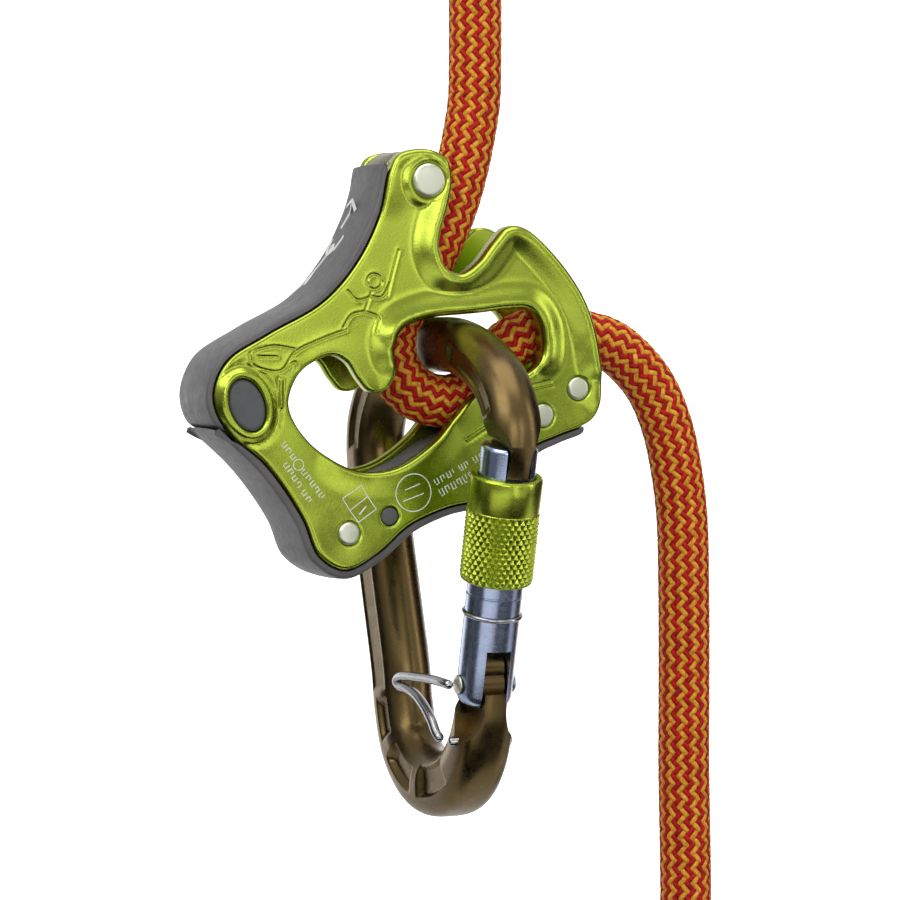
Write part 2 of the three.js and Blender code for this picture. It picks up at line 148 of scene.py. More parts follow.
# %% Smooth lines through points
def smooth_line(points, step, closed=False):
    p = np.asarray(points, float)
    n = len(p)
    if closed:
        ext = np.vstack([p[-1], p, p[0], p[1]])
        spans = n
    else:
        ext = np.vstack([2 * p[0] - p[1], p, 2 * p[-1] - p[-2]])
        spans = n - 1
    out = []
    for i in range(spans):
        q = ext[i:i + 4]
        t = np.concatenate([[0], np.cumsum(np.sqrt(np.linalg.norm(np.diff(q, axis=0), axis=1)))])
        u = np.linspace(t[1], t[2], 24, endpoint=False)[:, None]
        a1 = (t[1] - u) / (t[1] - t[0]) * q[0] + (u - t[0]) / (t[1] - t[0]) * q[1]
        a2 = (t[2] - u) / (t[2] - t[1]) * q[1] + (u - t[1]) / (t[2] - t[1]) * q[2]
        a3 = (t[3] - u) / (t[3] - t[2]) * q[2] + (u - t[2]) / (t[3] - t[2]) * q[3]
        b1 = (t[2] - u) / (t[2] - t[0]) * a1 + (u - t[0]) / (t[2] - t[0]) * a2
        b2 = (t[3] - u) / (t[3] - t[1]) * a2 + (u - t[1]) / (t[3] - t[1]) * a3
        out.append((t[2] - u) / (t[2] - t[1]) * b1 + (u - t[1]) / (t[2] - t[1]) * b2)
    dense = np.vstack(out + [p[:1] if closed else p[-1:]])
    run = run_of(dense)
    count = max(3, int(round(run[-1] / step)) + 1)
    line = along_line(np.linspace(0, run[-1], count), run, dense)
    return line[:-1] if closed else line


ROPE_LIVE = [
    (10.9, 100), (10.9, 118), (11.3, 130), (14.6, 141), (19.6, 151.5), (22.3, 163), (20.2, 173),
    (12, 181.6),
    (2, 183), (-7.4, 177), (-11.4, 165), (-9.6, 153), (-4, 141), (-0.4, 130), (0, 118), (0, 96),
]
ROPE_DOWN = [
    (5.4, 96), (5.4, 78), (5.2, 70), (4.3, 64), (2.55, 56), (0.4, 49), (-2.6, 42), (-5.9, 35.5),
    (-9.6, 29.6),
    (-12, 25.6), (-12.9, 21.8), (-12.3, 17.4), (-10, 13.6), (-6.4, 10.9), (-1.5, 9.8), (3.4, 10.9),
    (7, 13.6),
    (9.6, 17.6), (12.8, 21), (18, 23.1), (24, 23.4), (28.5, 22.85), (31, 22.27), (33, 21.8), (36.2, 20.3),
    (40.5, 16.8), (44.6, 11.8), (48, 4.2), (50, -4), (51.4, -14), (51.9, -30), (52, -50), (52, -66),
    (52.3, -80),
    (52.5, -92), (52.5, -116.2),
]
STEP = 0.44
eye_road = [(5.4, y, z) for y, z in ROPE_LIVE]
down_road = [(x, 0, z) for x, z in ROPE_DOWN]
road = smooth_line(eye_road + down_road[1:], STEP)
run = run_of(road)


def run_at(x, z):
    """Length along the rope of the road's nearest point to a place in the mid-plane."""
    far = run > run[-1] * 0.3
    gap = np.where(far, np.hypot(road[:, 0] - x, road[:, 2] - z), 1e9)
    return run[int(np.argmin(gap))]


print("rope on the rig, mm:", round(run[-1]))

# %% [markdown]
# ## A braid, carrier by carrier
# The sheath of a dynamic rope is braided from forty-eight bobbins: half walk round the rope one way,
# half the other, and each goes over two and under two. So every strand here is a real strip that
# winds round the road and rises and dips where it crosses the others. The bobbins work in pairs, so
# two neighbours float on top together and then dive together, which gives a basket of short bars.

# %% Strands of the sheath
CARRIERS = 24
LAY = 38.0
SHEATH_R = 4.80
LIFT = 0.24
STRAND_W, STRAND_T = 0.50, 0.30


def road_frames(line):
    tangent = np.gradient(line, axis=0)
    tangent /= np.linalg.norm(tangent, axis=1)[:, None]
    normal = np.zeros_like(tangent)
    start = np.array([1.0, 0, 0]) - tangent[0] * tangent[0][0]
    normal[0] = start / np.linalg.norm(start)
    for i in range(1, len(line)):
        moved = normal[i - 1] - tangent[i] * (normal[i - 1] @ tangent[i])
        normal[i] = moved / np.linalg.norm(moved)
    return tangent, normal, np.cross(tangent, normal)


NORMAL, SIDE = road_frames(road)[1:]


def on_rope(s, angle, radius):
    """Points at a length, an angle and a radius on the rope."""
    centre, n, b = (along_line(s, run, f) for f in (road, NORMAL, SIDE))
    return centre + radius[:, None] * (np.cos(angle)[:, None] * n + np.sin(angle)[:, None] * b)


def strand_mesh(start, stop, carrier, way, step):
    s = np.linspace(start, stop, max(4, int(round((stop - start) / step)) + 1))
    wind = 2 * math.pi * s / LAY
    angle = 2 * math.pi * carrier / CARRIERS + way * wind
    met = carrier + way * CARRIERS * 2 * s / LAY
    wave = np.cos(math.pi / 2 * (met - 0.5) + math.pi * (carrier // 2))
    height = np.clip(1.7 * wave, -1, 1) * way
    radius = SHEATH_R + LIFT * height
    middle = on_rope(s, angle, radius)
    along = np.gradient(middle, axis=0)
    along /= np.linalg.norm(along, axis=1)[:, None]
    out = on_rope(s, angle, radius + 1.0) - middle
    across = np.cross(along, out)
    across /= np.linalg.norm(across, axis=1)[:, None]
    out = np.cross(across, along)
    section = [(math.cos(a), math.sin(a)) for a in np.linspace(0, 2 * math.pi, 6, endpoint=False)]
    width = STRAND_W * (1 + 0.10 * height)
    ring = [middle + across * (c * width)[:, None] + out * (-STRAND_T * d) for c, d in section]
    return s, np.stack(ring, axis=1)


def braid(name, start, stop, body, replaces, step=STEP):
    verts, faces, shades, lengths = [], [], [], []
    base = 0
    for way in (1, -1):
        for carrier in range(CARRIERS):
            s, rings = strand_mesh(start, stop, carrier, way, step)
            verts.append(rings.reshape(-1, 3))
            lengths.append(np.repeat(s, rings.shape[1]))
            made = grid_faces(rings.shape, base)
            faces += made
            shades += [(carrier + (way > 0)) % 2] * len(made)
            base += len(verts[-1])
    piece = new_piece(name, np.vstack(verts), faces, body, replaces)
    piece.data.materials.append(None)
    piece.data.materials.append(None)
    piece.data.polygons.foreach_set("material_index", np.array(shades, np.int32))
    mark = piece.data.attributes.new("along", "FLOAT", "POINT")
    mark.data.foreach_set("value", (np.concatenate(lengths) / 1000).astype(np.float32))
    return piece


def tube_piece(name, grid, body, replaces=()):
    return new_piece(name, grid.reshape(-1, 3), grid_faces(grid.shape), body, replaces)


def core(name, start, stop, body, radius=4.62):
    """The dark filling under the braid, seen only between its strands; its dark red is painted shade for the
    gaps.
    """
    s = np.linspace(start, stop, max(4, int((stop - start) / 2.0)))
    turns = np.linspace(0, 2 * math.pi, 20)[:-1]
    rings = [on_rope(s, np.full(len(s), a), np.full(len(s), radius)) for a in turns]
    return tube_piece(name, np.stack(rings, axis=1), body)


# %% [markdown]
# The braid is laid along the whole road in one go, so that the strands run on from piece to piece.
# It is cut where the rope goes from hanging free to lying in the device. The bight is made in two
# halves that are tied to no body.

# %% Lay the rope
EYE_END = 2.0
ENTRY = run_at(2.55, 56)
BIGHT = run_at(-1.5, 9.8)
LEAVE = run_at(31, 22.27)
TAIL_END = run[-1] - 0.3
live = braid("rope_live_braid", EYE_END, ENTRY, "device", ["rope_live"])
loop_in = braid("rope_loop_in", ENTRY, BIGHT, None, ["rope_loop"])
loop_out = braid("rope_loop_out", BIGHT, LEAVE, None, ["rope_loop"])
brake = braid("rope_brake_braid", LEAVE, TAIL_END, "device", ["rope_brake"])
live_core = core("rope_live_core", EYE_END, ENTRY, "device")
core_in = core("rope_loop_core_in", ENTRY, BIGHT, None)
core_out = core("rope_loop_core_out", BIGHT, LEAVE, None)
brake_core = core("rope_brake_core", LEAVE, TAIL_END, "device")
for piece in (loop_in, core_in):
    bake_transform(piece)
for piece in (loop_out, core_out):
    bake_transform(piece)
print("braided sheath vertices:", sum(len(p.data.vertices) for p in (live, loop_in, loop_out, brake)))

# %% [markdown]
# ## Stamped plates
# Each plate is cut from 3 mm sheet and then forged in a die, which rolls the edges that touch the
# rope outward into a fat smooth rim. A plate is built as a skin: its outline is filled with points,
# each one is given its height from how far it is from the edge, and the edges are rounded over.

# %% Outlines of the plate
PLATE_OUTER = [
    (-16.5, 54.7), (-14.7, 58.2), (-9.7, 59.5), (-5, 58), (-3.8, 54.7), (-4.3, 49.3), (-6.2, 42.6),
    (-6.3, 39.4),
    (-4.6, 36), (-1.6, 35.2), (1.7, 37.3), (5, 41.3), (8.2, 44.4), (11.7, 44.3), (18.3, 39), (25, 30),
    (28.2, 20), (28.7, 9.5), (27, 6), (19.7, 3), (14, 0.6), (9, -5.6), (4, -9.2), (-4.3, -11),
    (-12.3, -14.3), (-19, -19.7), (-25.7, -22.8), (-31, -20), (-34.3, -12.7), (-41.7, -2.3), (-50.3, 5.3),
    (-52.5, 11.3), (-50, 17.7), (-41.7, 23), (-30.3, 29.3), (-23, 37.3), (-18.3, 46.7),
]
PLATE_OPENING = [
    (-37.3, 10), (-35.7, 14.7), (-33, 17.3), (-28.3, 19), (-25.3, 17.6), (-22.9, 14.2), (-20.5, 11.9),
    (-17, 12.4),
    (-15.3, 15), (-15.6, 21.3), (-14, 24.2), (-9, 26.2), (1.7, 27.3), (9, 28.1), (12.6, 27.9), (14.8, 25.6),
    (15.7, 20), (14.4, 16.7), (9.5, 14), (1.7, 11.3), (-2.6, 6.9), (-7, 2), (-15, -3), (-23, -3.5),
    (-31.7, 1), (-36.2, 6.3),
]
OUTER = smooth_line(PLATE_OUTER, 0.5, closed=True)
OPENING = smooth_line(PLATE_OPENING, 0.5, closed=True)
RIVETS = {
    "top_rivet": (-8.5, 53.3, 3.35), "lower_rivet": (-25, -15.7, 2.27),
    "brake_rivet_upper": (23.8, 12.3, 2.3), "brake_rivet_lower": (16.2, 7, 2.3),
}
PEG = (-16.5, -12.5, 1.8)
BOSS = (-46.0, 9.5, 3.45, 5.2, math.radians(21))


def ring_points(x, z, r, count):
    a = np.linspace(0, 2 * math.pi, count, endpoint=False)
    return np.column_stack([x + r * np.cos(a), z + r * np.sin(a)])


def oval_points(extra, count=64):
    x, z, a, b, tilt = BOSS
    p = ring_points(0, 0, 1, count) * [a + extra, b + extra]
    c, s = math.cos(tilt), math.sin(tilt)
    return np.column_stack([x + p[:, 0] * c - p[:, 1] * s, z + p[:, 0] * s + p[:, 1] * c])


def outward(loop):
    along = np.roll(loop, -1, 0) - np.roll(loop, 1, 0)
    along /= np.linalg.norm(along, axis=1)[:, None]
    area = np.sum(loop[:, 0] * np.roll(loop[:, 1], -1) - np.roll(loop[:, 0], -1) * loop[:, 1])
    return np.column_stack([along[:, 1], -along[:, 0]]) * (1 if area > 0 else -1)


def inside(points, loop):
    x, y = points[:, 0][:, None], points[:, 1][:, None]
    x0, y0 = loop[:, 0], loop[:, 1]
    x1, y1 = np.roll(x0, -1), np.roll(y0, -1)
    hit = ((y0 > y) != (y1 > y)) & (x < (x1 - x0) * (y - y0) / (y1 - y0 + 1e-12) + x0)
    return hit.sum(1) % 2 == 1


def nearest(points, cloud):
    out = np.empty(len(points))
    for i in range(0, len(points), 2000):
        out[i:i + 2000] = np.linalg.norm(points[i:i + 2000, None] - cloud[None], axis=2).min(1)
    return out


# %% [markdown]
# The rim is strong along the notch, over the hump and down the brake edge, and again round the slot.
# Along the lower arm and the outer lobes the plate stays flat. The weights below say where the rim is.
# Engraved lines are pressed in, and a few short bars stand up; the figures are plain stick ones.

# %% Relief of the plate
def rim_weight(loop, marks):
    """A weight for each point of a loop, blended from a few marked places."""
    spots = np.array([(x, z) for x, z, _ in marks])
    values = np.array([w for _, _, w in marks])
    gap = np.linalg.norm(loop[:, None] - spots[None], axis=2)
    near = 1 / (gap + 0.4) ** 4
    return (near * values).sum(1) / near.sum(1)


OUTER_RIM = [
    (-9.7, 59.5, 0.35), (-5, 58, 0.7), (-3.8, 54.7, 0.9), (-4.3, 49.3, 1), (-6.2, 42.6, 1),
    (-4.6, 36, 1), (1.7, 37.3, 1),
    (5, 41.3, 1), (8.2, 44.4, 1), (11.7, 44.3, 1), (18.3, 39, 1), (25, 30, 1), (28.2, 20, 0.9),
    (28.7, 13, 0.4),
    (28, 8, 0.1), (22, 4, 0), (14, 0, 0), (4, -9.2, 0), (-12, -14, 0), (-25, -22, 0.12), (-34, -12, 0),
    (-41, -2, 0),
    (-50, 5, 0.1), (-52, 12, 0.15), (-46, 20, 0), (-36, 26, 0), (-28, 31, 0), (-22, 39, 0),
    (-18.3, 46.7, 0), (-16.5, 54.7, 0.2),
    (-32, -19, 0.1), (-19, -19.7, 0),
]
SLOT_RIM = [
    (-37.3, 10, 0), (-33, 17.3, 0.05), (-28.3, 19, 0.1), (-25.3, 17.6, 0.1), (-22.9, 14.2, 0.1),
    (-20.5, 11.9, 0),
    (-17, 12.4, 0), (-15.3, 16, 0.15), (-15.6, 20.3, 0.65), (-14, 24.2, 1), (-9, 26.2, 1),
    (1.7, 27.3, 1), (9, 28.1, 1), (12.6, 27.9, 1),
    (14.8, 25.6, 1), (15.7, 20, 0.9), (14.4, 16.7, 0.4), (9.5, 14, 0.05), (1.7, 11.3, 0),
    (-2.6, 6.9, 0.2), (-7, 2, 0.3),
    (-15, -3, 0.3), (-23, -3.5, 0.25), (-31.7, 1, 0.05), (-36.2, 6.3, 0),
]
FIGURE_LINES = [
    [(-14.6, 39.6), (-16.0, 34.6), (-17.0, 30.6)],
    [(-20.6, 30.6), (-18.2, 30.4), (-16.2, 33.6)],
    [(-20.3, 31.4), (-21.7, 27.6)],
    [(-20.6, 30.4), (-23.2, 29.8), (-25.2, 31.6)],
    [(-21.7, 27.6), (-18.9, 26.4), (-19.4, 23.6)],
    [(-21.7, 27.6), (-24.4, 26.9), (-26.2, 24.4)],
    [(-45.3, 19.8), (-44.9, 17.6), (-42.2, 16.3), (-38.9, 16.2), (-36.2, 19.6), (-30.5, 22.3), (-25.6, 24.0)],
    [(-45.3, 19.8), (-40.6, 20.9), (-36.2, 20.3)],
    [(-43.6, 18.9), (-39.8, 18.8)],
    [(-38.9, 16.2), (-36.0, 17.8), (-35.8, 16.4)],
]
BARS = [[(-39.0, 14.4), (-39.0, 9.2)], [(-0.2, 2.4), (8.3, 7.6)], [(11.2, 12.0), (17.9, 13.3)]]
HEAD = (-19.7, 33.4, 1.5)


def stroke(lines, step=0.12):
    """Close points along each line: a curve through three or more, or straight between two."""
    return np.vstack([smooth_line(p, step) if len(p) > 2 else np.linspace(*p, 60) for p in lines])


ENGRAVED = np.vstack([stroke(FIGURE_LINES), ring_points(*HEAD, 80)])
RAISED = stroke(BARS)
LOOPS = [OUTER, OPENING, oval_points(0.15)]
LOOPS += [ring_points(x, z, r + 0.15, 40) for x, z, r in [*RIVETS.values(), PEG]]
EDGE_W = [rim_weight(OUTER, OUTER_RIM), rim_weight(OPENING, SLOT_RIM)]
FLAT, RIM, INNER = 9.5, 1.75, 6.5


def fall(d, reach, hold=0.0):
    t = np.clip((d - hold) / (reach - hold), 0, 1)
    return 1 - t * t * (3 - 2 * t)


def plate_height(p, engraved):
    """Distance of the outer skin from the mid-plane at each point."""
    rim, edge_w, edge_d = np.zeros(len(p)), np.zeros(len(p)), np.full(len(p), 99.0)
    for loop, weight in zip(LOOPS[:2], EDGE_W):
        for i in range(0, len(p), 1500):
            gap = np.linalg.norm(p[i:i + 1500, None] - loop[None], axis=2)
            part = (weight[None] * fall(gap, 6.0, 0.9)).max(1)
            rim[i:i + 1500] = np.maximum(rim[i:i + 1500], part)
            close = gap.min(1)
            better = close < edge_d[i:i + 1500]
            edge_w[i:i + 1500] = np.where(better, weight[gap.argmin(1)], edge_w[i:i + 1500])
            edge_d[i:i + 1500] = np.minimum(edge_d[i:i + 1500], close)
    h = FLAT + RIM * rim
    x, z, r = RIVETS["top_rivet"]
    from_rivet = np.hypot(p[:, 0] - x, p[:, 1] - z)
    h = np.maximum(h, FLAT + 0.8 * fall(from_rivet, 6.2, 4.2))
    h -= 0.35 * fall(np.abs(from_rivet - 3.5), 0.6)
    collar = nearest(p, oval_points(0.95, 96))
    h += 0.95 * fall(collar, 1.25, 0.25) - 0.25 * fall(np.abs(collar - 1.7), 0.8)
    for rx, rz, rr in [RIVETS["lower_rivet"], RIVETS["brake_rivet_upper"], RIVETS["brake_rivet_lower"], PEG]:
        h -= 0.16 * fall(np.hypot(p[:, 0] - rx, p[:, 1] - rz) - rr, 0.55)
    if engraved:
        d = nearest(p, ENGRAVED)
        h += -0.21 * np.exp(-(d / 0.2) ** 2) + 0.05 * np.exp(-((d - 0.45) / 0.2) ** 2)
        bar = nearest(p, RAISED)
        h += 0.17 * fall(bar, 0.42, 0.12) - 0.08 * np.exp(-((bar - 0.6) / 0.16) ** 2)
    radius = 0.75 + 0.75 * np.clip(edge_w, 0, 1)
    short = np.clip(radius - edge_d, 0, None)
    h -= radius - np.sqrt(np.maximum(radius ** 2 - short ** 2, 0))
    return h


# %% [markdown]
# The outline, its holes and rings of points just inside them are joined into triangles, finest where
# lines are engraved. The same triangles make the flat inner face, and the edges are walled.

# %% Build both plates
def plate_points(engraved):
    borders = np.vstack(LOOPS)
    rings = []
    for i, loop in enumerate(LOOPS):
        inward = outward(loop) * (-1 if i == 0 else 1)
        for d in (0.1, 0.24, 0.42, 0.66, 0.95, 1.3):
            ring = loop + inward * d
            rings.append(ring[nearest(ring, borders) > d * 0.9])
    ring = np.vstack(rings)
    gx, gz = np.meshgrid(np.arange(-53, 30, 0.62), np.arange(-24, 61, 0.62))
    grid = np.column_stack([gx.ravel(), gz.ravel()]) + 0.013
    fine = np.empty((0, 2))
    if engraved:
        fx, fz = np.meshgrid(np.arange(-47, 20, 0.2), np.arange(1, 41, 0.2))
        fine = np.column_stack([fx.ravel(), fz.ravel()]) + 0.007
        fine = fine[np.minimum(nearest(fine, ENGRAVED[::3]), nearest(fine, RAISED[::3])) < 0.95]
        grid = grid[np.minimum(nearest(grid, ENGRAVED[::3]), nearest(grid, RAISED[::3])) > 1.0]
    field = np.vstack([grid, fine])
    keep = inside(field, OUTER)
    for loop in LOOPS[1:]:
        keep &= ~inside(field, loop)
    field = field[keep]
    field = field[nearest(field, borders) > 1.5] if not engraved else field[nearest(field, borders) > 1.45]
    return np.vstack([ring, field])


def plate(name, sign, engraved):
    loops, edges, count = [], [], 0
    for loop in LOOPS:
        n = len(loop)
        loops.append(loop)
        edges += [(count + k, count + (k + 1) % n) for k in range(n)]
        count += n
    free = plate_points(engraved)
    flat = np.vstack(loops + [free])
    made = geometry.delaunay_2d_cdt([Vector(p) for p in flat], edges, [], 0, 1e-5)
    points = np.array([tuple(v) for v in made[0]])
    tris = np.array(made[2])
    centre = points[tris].mean(1)
    keep = inside(centre, OUTER)
    for loop in LOOPS[1:]:
        keep &= ~inside(centre, loop)
    tris = tris[keep]
    a, b, c = points[tris[:, 0]], points[tris[:, 1]], points[tris[:, 2]]
    area = (b[:, 0] - a[:, 0]) * (c[:, 1] - a[:, 1]) - (b[:, 1] - a[:, 1]) * (c[:, 0] - a[:, 0])
    tris[area < 0] = tris[area < 0][:, ::-1]
    h = plate_height(points, engraved)
    border_gap = nearest(points, np.vstack(LOOPS))
    under = INNER + 0.45 * fall(border_gap, 0.45)
    n = len(points)
    skin = np.column_stack([points[:, 0], sign * h, points[:, 1]])
    flat_side = np.column_stack([points[:, 0], sign * under, points[:, 1]])
    pairs = {}
    for t in tris:
        for i, j in ((t[0], t[1]), (t[1], t[2]), (t[2], t[0])):
            pairs[(i, j)] = True
    rim_edges = [(i, j) for i, j in pairs if (j, i) not in pairs]
    walls = [(j, i, i + n, j + n) for i, j in rim_edges]
    faces = [tuple(t) for t in tris] + [tuple(t[::-1] + n) for t in tris] + walls
    if sign > 0:
        faces = [f[::-1] for f in faces]
    node = name.replace("_skin", "")
    return new_piece(name, np.vstack([skin, flat_side]), faces, "device", [node])


front = plate("front_plate_skin", -1, True)
rear = plate("rear_plate_skin", 1, False)
print("plate triangles:", len(front.data.polygons), len(rear.data.polygons))

# %% [markdown]
# ## Moulded covers
# The grey nylon covers close the gap between the plates and wrap out over their edges, so the hand
# meets plastic and not metal. They are drawn as a crowned band, then the two plates are cut out of
# their sides, and the round peg and the oval boss that locate them stand up through the plates.

# %% Solid helpers
def fill_faces(loop):
    n = len(loop)
    edges = [(k, (k + 1) % n) for k in range(n)]
    made = geometry.delaunay_2d_cdt([Vector(p) for p in loop], edges, [], 1, 1e-6)
    if len(made[0]) != n:
        raise ValueError("an outline crosses itself")
    return [tuple(f) for f in made[2]]


def slab_faces(loop, profile):
    """A closed outline swept through (y, inset) pairs, with both ends filled."""
    n, out = len(loop), outward(loop)
    rings = []
    for y, inset in profile:
        drawn_in = loop - out * inset
        rings.append(np.column_stack([drawn_in[:, 0], np.full(n, y), drawn_in[:, 1]]))
    faces = grid_faces((len(profile), n), caps=False)
    ends = fill_faces(loop)
    last = (len(profile) - 1) * n
    return np.vstack(rings), faces + ends + [tuple(i + last for i in f[::-1]) for f in ends]


def fix_normals(piece):
    bm = bmesh.new()
    bm.from_mesh(piece.data)
    bmesh.ops.recalc_face_normals(bm, faces=bm.faces)
    if bm.calc_volume(signed=True) < 0:
        bmesh.ops.reverse_faces(bm, faces=bm.faces)
    bm.to_mesh(piece.data)
    bm.free()


def tool_piece(verts, faces):
    mesh = bpy.data.meshes.new("tool")
    mesh.from_pydata([tuple(p) for p in at(verts)], [], faces)
    piece = add_object("tool", mesh)
    fix_normals(piece)
    return piece


def bake(piece):
    """Turns a piece's modifiers into its own mesh."""
    bpy.context.view_layer.update()
    seen = piece.evaluated_get(bpy.context.evaluated_depsgraph_get())
    old, piece.data = piece.data, bpy.data.meshes.new_from_object(seen)
    piece.modifiers.clear()
    bpy.data.meshes.remove(old)


def carve(piece, *tools, way="DIFFERENCE"):
    for tool in tools:
        step = piece.modifiers.new("carve", "BOOLEAN")
        step.operation, step.solver, step.object = way, "EXACT", tool
        bake(piece)
        bpy.data.objects.remove(tool)


def shade_by_angle(piece, angle=32):
    piece.data.shade_smooth()
    bm = bmesh.new()
    bm.from_mesh(piece.data)
    for e in bm.edges:
        if len(e.link_faces) == 2 and e.calc_face_angle() > math.radians(angle):
            e.smooth = False
    bm.to_mesh(piece.data)
    bm.free()


# %% Covers
UPPER_COVER = [
    (-17.4, 56.6), (-18.6, 51.6), (-20.1, 47), (-24.7, 38.3), (-31.4, 30.8), (-42.4, 24.7), (-51.3, 18.9),
    (-54.2, 11.6), (-52.7, 6), (-50, 4.1), (-46, 2.5), (-41.5, 2.2), (-39.2, 5.5), (-39.2, 12),
    (-36.6, 17.5),
    (-29, 22.3), (-23, 28), (-18.8, 35), (-16, 43), (-15.2, 49.6), (-15.6, 54.4),
]
LOWER_COVER = [
    (-52.6, 5), (-50.2, 2.7), (-43.2, -3.9), (-36.1, -13.6), (-32.6, -21.2), (-25.6, -24.9), (-17.8, -21.4),
    (-11.2, -16.1), (-3.8, -12.9), (4.8, -11), (10.2, -7.6), (15, -1.3), (20.3, 1.2), (25.6, 3.4),
    (25.4, 5.2),
    (20, 3.9), (13.5, 2.6), (6, 4), (1, 3.9), (-5, 1.6), (-11.5, -2.4), (-19, -4.8), (-28.8, -2.3),
    (-35, 3), (-38.4, 3.4), (-41.2, 1.8), (-46.2, 2.1), (-50.4, 3.8),
]
COVER_HALF, COVER_ROUND, COVER_CROWN = 9.0, 0.55, 0.32


def crown(y):
    over = np.clip(np.abs(y) - (COVER_HALF - COVER_ROUND), 0, COVER_ROUND)
    return COVER_CROWN * (y / COVER_HALF) ** 2 + COVER_ROUND - np.sqrt(COVER_ROUND ** 2 - over ** 2)


def cover(name, outline):
    loop = smooth_line(outline, 0.7, closed=True)
    ys = np.concatenate([[-9, -8.95, -8.8, -8.6, -8.4], np.linspace(-7.6, 7.6, 9), [8.4, 8.6, 8.8, 8.95, 9]])
    verts, faces = slab_faces(loop, [(y, float(crown(y))) for y in ys])
    piece = new_piece(name + "_skin", verts, faces, None, [name])
    fix_normals(piece)
    around = OUTER + outward(OUTER) * 0.35
    for a, b in ((-12, -6.2), (6.2, 12)):
        verts, faces = slab_faces(around, [(a, 0), (b, 0)])
        carve(piece, tool_piece(verts, faces))
    shade_by_angle(piece, 30)
    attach(piece, "device")
    return piece


cover("upper_cover", UPPER_COVER)
cover("lower_cover", LOWER_COVER)
TOP_LINER = [
    (-16, 56.4), (-14.4, 58.1), (-12.1, 59.1), (-9.7, 59.4), (-7, 59), (-5.5, 58.2), (-5.9, 57.4),
    (-8, 57.85),
    (-10, 57.75), (-12.2, 57.1), (-13.9, 55.9), (-14.9, 54.9),
]
ends = [(-6.2, 0.2), (-6.1, 0.06), (-5.95, 0), (5.95, 0), (6.1, 0.06), (6.2, 0.2)]
verts, faces = slab_faces(smooth_line(TOP_LINER, 0.3, closed=True), ends)
liner = new_piece("top_liner_pad", verts, faces, "device", ["top_liner"])
fix_normals(liner)
shade_by_angle(liner, 40)
rounded_end = [(9.6, 0.0), (9.85, 0.18), (9.98, 0.5), (10.0, 0.9)]
reach = [(-y, inset) for y, inset in rounded_end[::-1]] + rounded_end
verts, faces = slab_faces(oval_points(0, 72), reach)
boss = new_piece("cover_boss", verts, faces, "device")
fix_normals(boss)
verts, faces = slab_faces(ring_points(PEG[0], PEG[1], PEG[2], 32), [(y * 0.94, i * 0.5) for y, i in reach])
peg = new_piece("cover_peg", verts, faces, "device")
fix_normals(peg)

# %% [markdown]
# ## Printed marks
# Real devices carry small white print: a leaflet sign, a round mark and a few lines of words. Only
# plain shapes stand in for them here, with bars for the words. Each stroke is a thin strip of ink
# that lies on the metal, or on the outer face of the upper cover, where a stick figure is printed.

# %% Ink strokes
def ink_strip(line, normal, width, high=0.035):
    """A thin closed strip along a 3-D line; normal is the way up from the surface at each point."""
    line, up = np.asarray(line, float), np.broadcast_to(np.asarray(normal, float), (len(line), 3))
    along = np.gradient(line, axis=0)
    side = np.cross(along, up)
    side /= np.linalg.norm(side, axis=1)[:, None]
    ring = [line + side * a * width / 2 + up * b for a, b in ((-1, -0.05), (1, -0.05), (1, high), (-1, high))]
    return np.stack(ring, axis=1)


def ink_piece(name, strips):
    verts, faces, base = [], [], 0
    for grid in strips:
        faces += grid_faces(grid.shape, base)
        verts.append(grid.reshape(-1, 3))
        base += len(verts[-1])
    piece = new_piece(name, np.vstack(verts), faces, None, smooth=False)
    fix_normals(piece)
    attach(piece, "device")
    return piece


def on_plate(points, width, count=24):
    p = np.asarray(points, float)
    run_2d = run_of(p)
    flat = along_line(np.linspace(0, run_2d[-1], count), run_2d, p)
    line = np.column_stack([flat[:, 0], -plate_height(flat, False), flat[:, 1]])
    return ink_strip(line, (0, -1, 0), width)


def words(start, stop, lengths, tall):
    """Rows of small upright ticks in place of words, with a space after each word."""
    start, stop = np.array(start, float), np.array(stop, float)
    reach = np.linalg.norm(stop - start)
    way = (stop - start) / reach
    up = np.array([-way[1], way[0]]) * tall / 2
    whole = sum(lengths) + 0.12 * (len(lengths) - 1)
    out, at_now = [], 0.0
    for part in lengths:
        first, last = reach * at_now / whole, reach * (at_now + part) / whole
        for k, d in enumerate(np.linspace(first, last, max(2, int(round((last - first) / 0.72)) + 1))):
            spot = start + way * d
            low_end = up if k % 3 else up * 0.3
            out.append(on_plate([spot - low_end, spot + up], 0.2, 3))
            if k % 2 == 0 and d < last - 0.4:
                level = up * (0.85 if k % 4 else -0.85)
                out.append(on_plate([spot + level, spot + level + way * 0.5], 0.17, 3))
        at_now += part + 0.12
    return out


LEAFLET = [
    (-26.4, -8.8), (-22.6, -6.3), (-21.2, -8.5), (-19.4, -11.0), (-23.1, -13.5), (-24.9, -11.2), (-26.4, -8.8),
]
strips = [on_plate([a, b], 0.17, 4) for a, b in zip(LEAFLET, LEAFLET[1:])]
strips += [on_plate([(-24.9, -11.2), (-21.2, -8.5)], 0.17, 4)]
strips += [on_plate([(-22.9, -12.0), (-21.5, -10.4)], 0.3, 4)]
strips += [on_plate(ring_points(-11.6, -7.9, 3.7, 73)[np.r_[0:73, 0]], 0.19, 74)]
strips += [on_plate([(-13.8, -9.6), (-9.4, -8.1)], 0.19, 4)]
strips += [on_plate([(-13.4, -7.4), (-10.2, -6.2)], 0.19, 4)]
strips += words((-7.0, -6.0), (5.2, 0.35), [0.35, 0.15, 0.36], 1.25)
strips += words((-5.9, -8.1), (2.2, -3.9), [1], 1.5)
strips += words((-38.6, 2.1), (-36.4, -0.8), [1], 1.1) + words((-34.6, -3.3), (-30.6, -8.4), [1], 1.1)
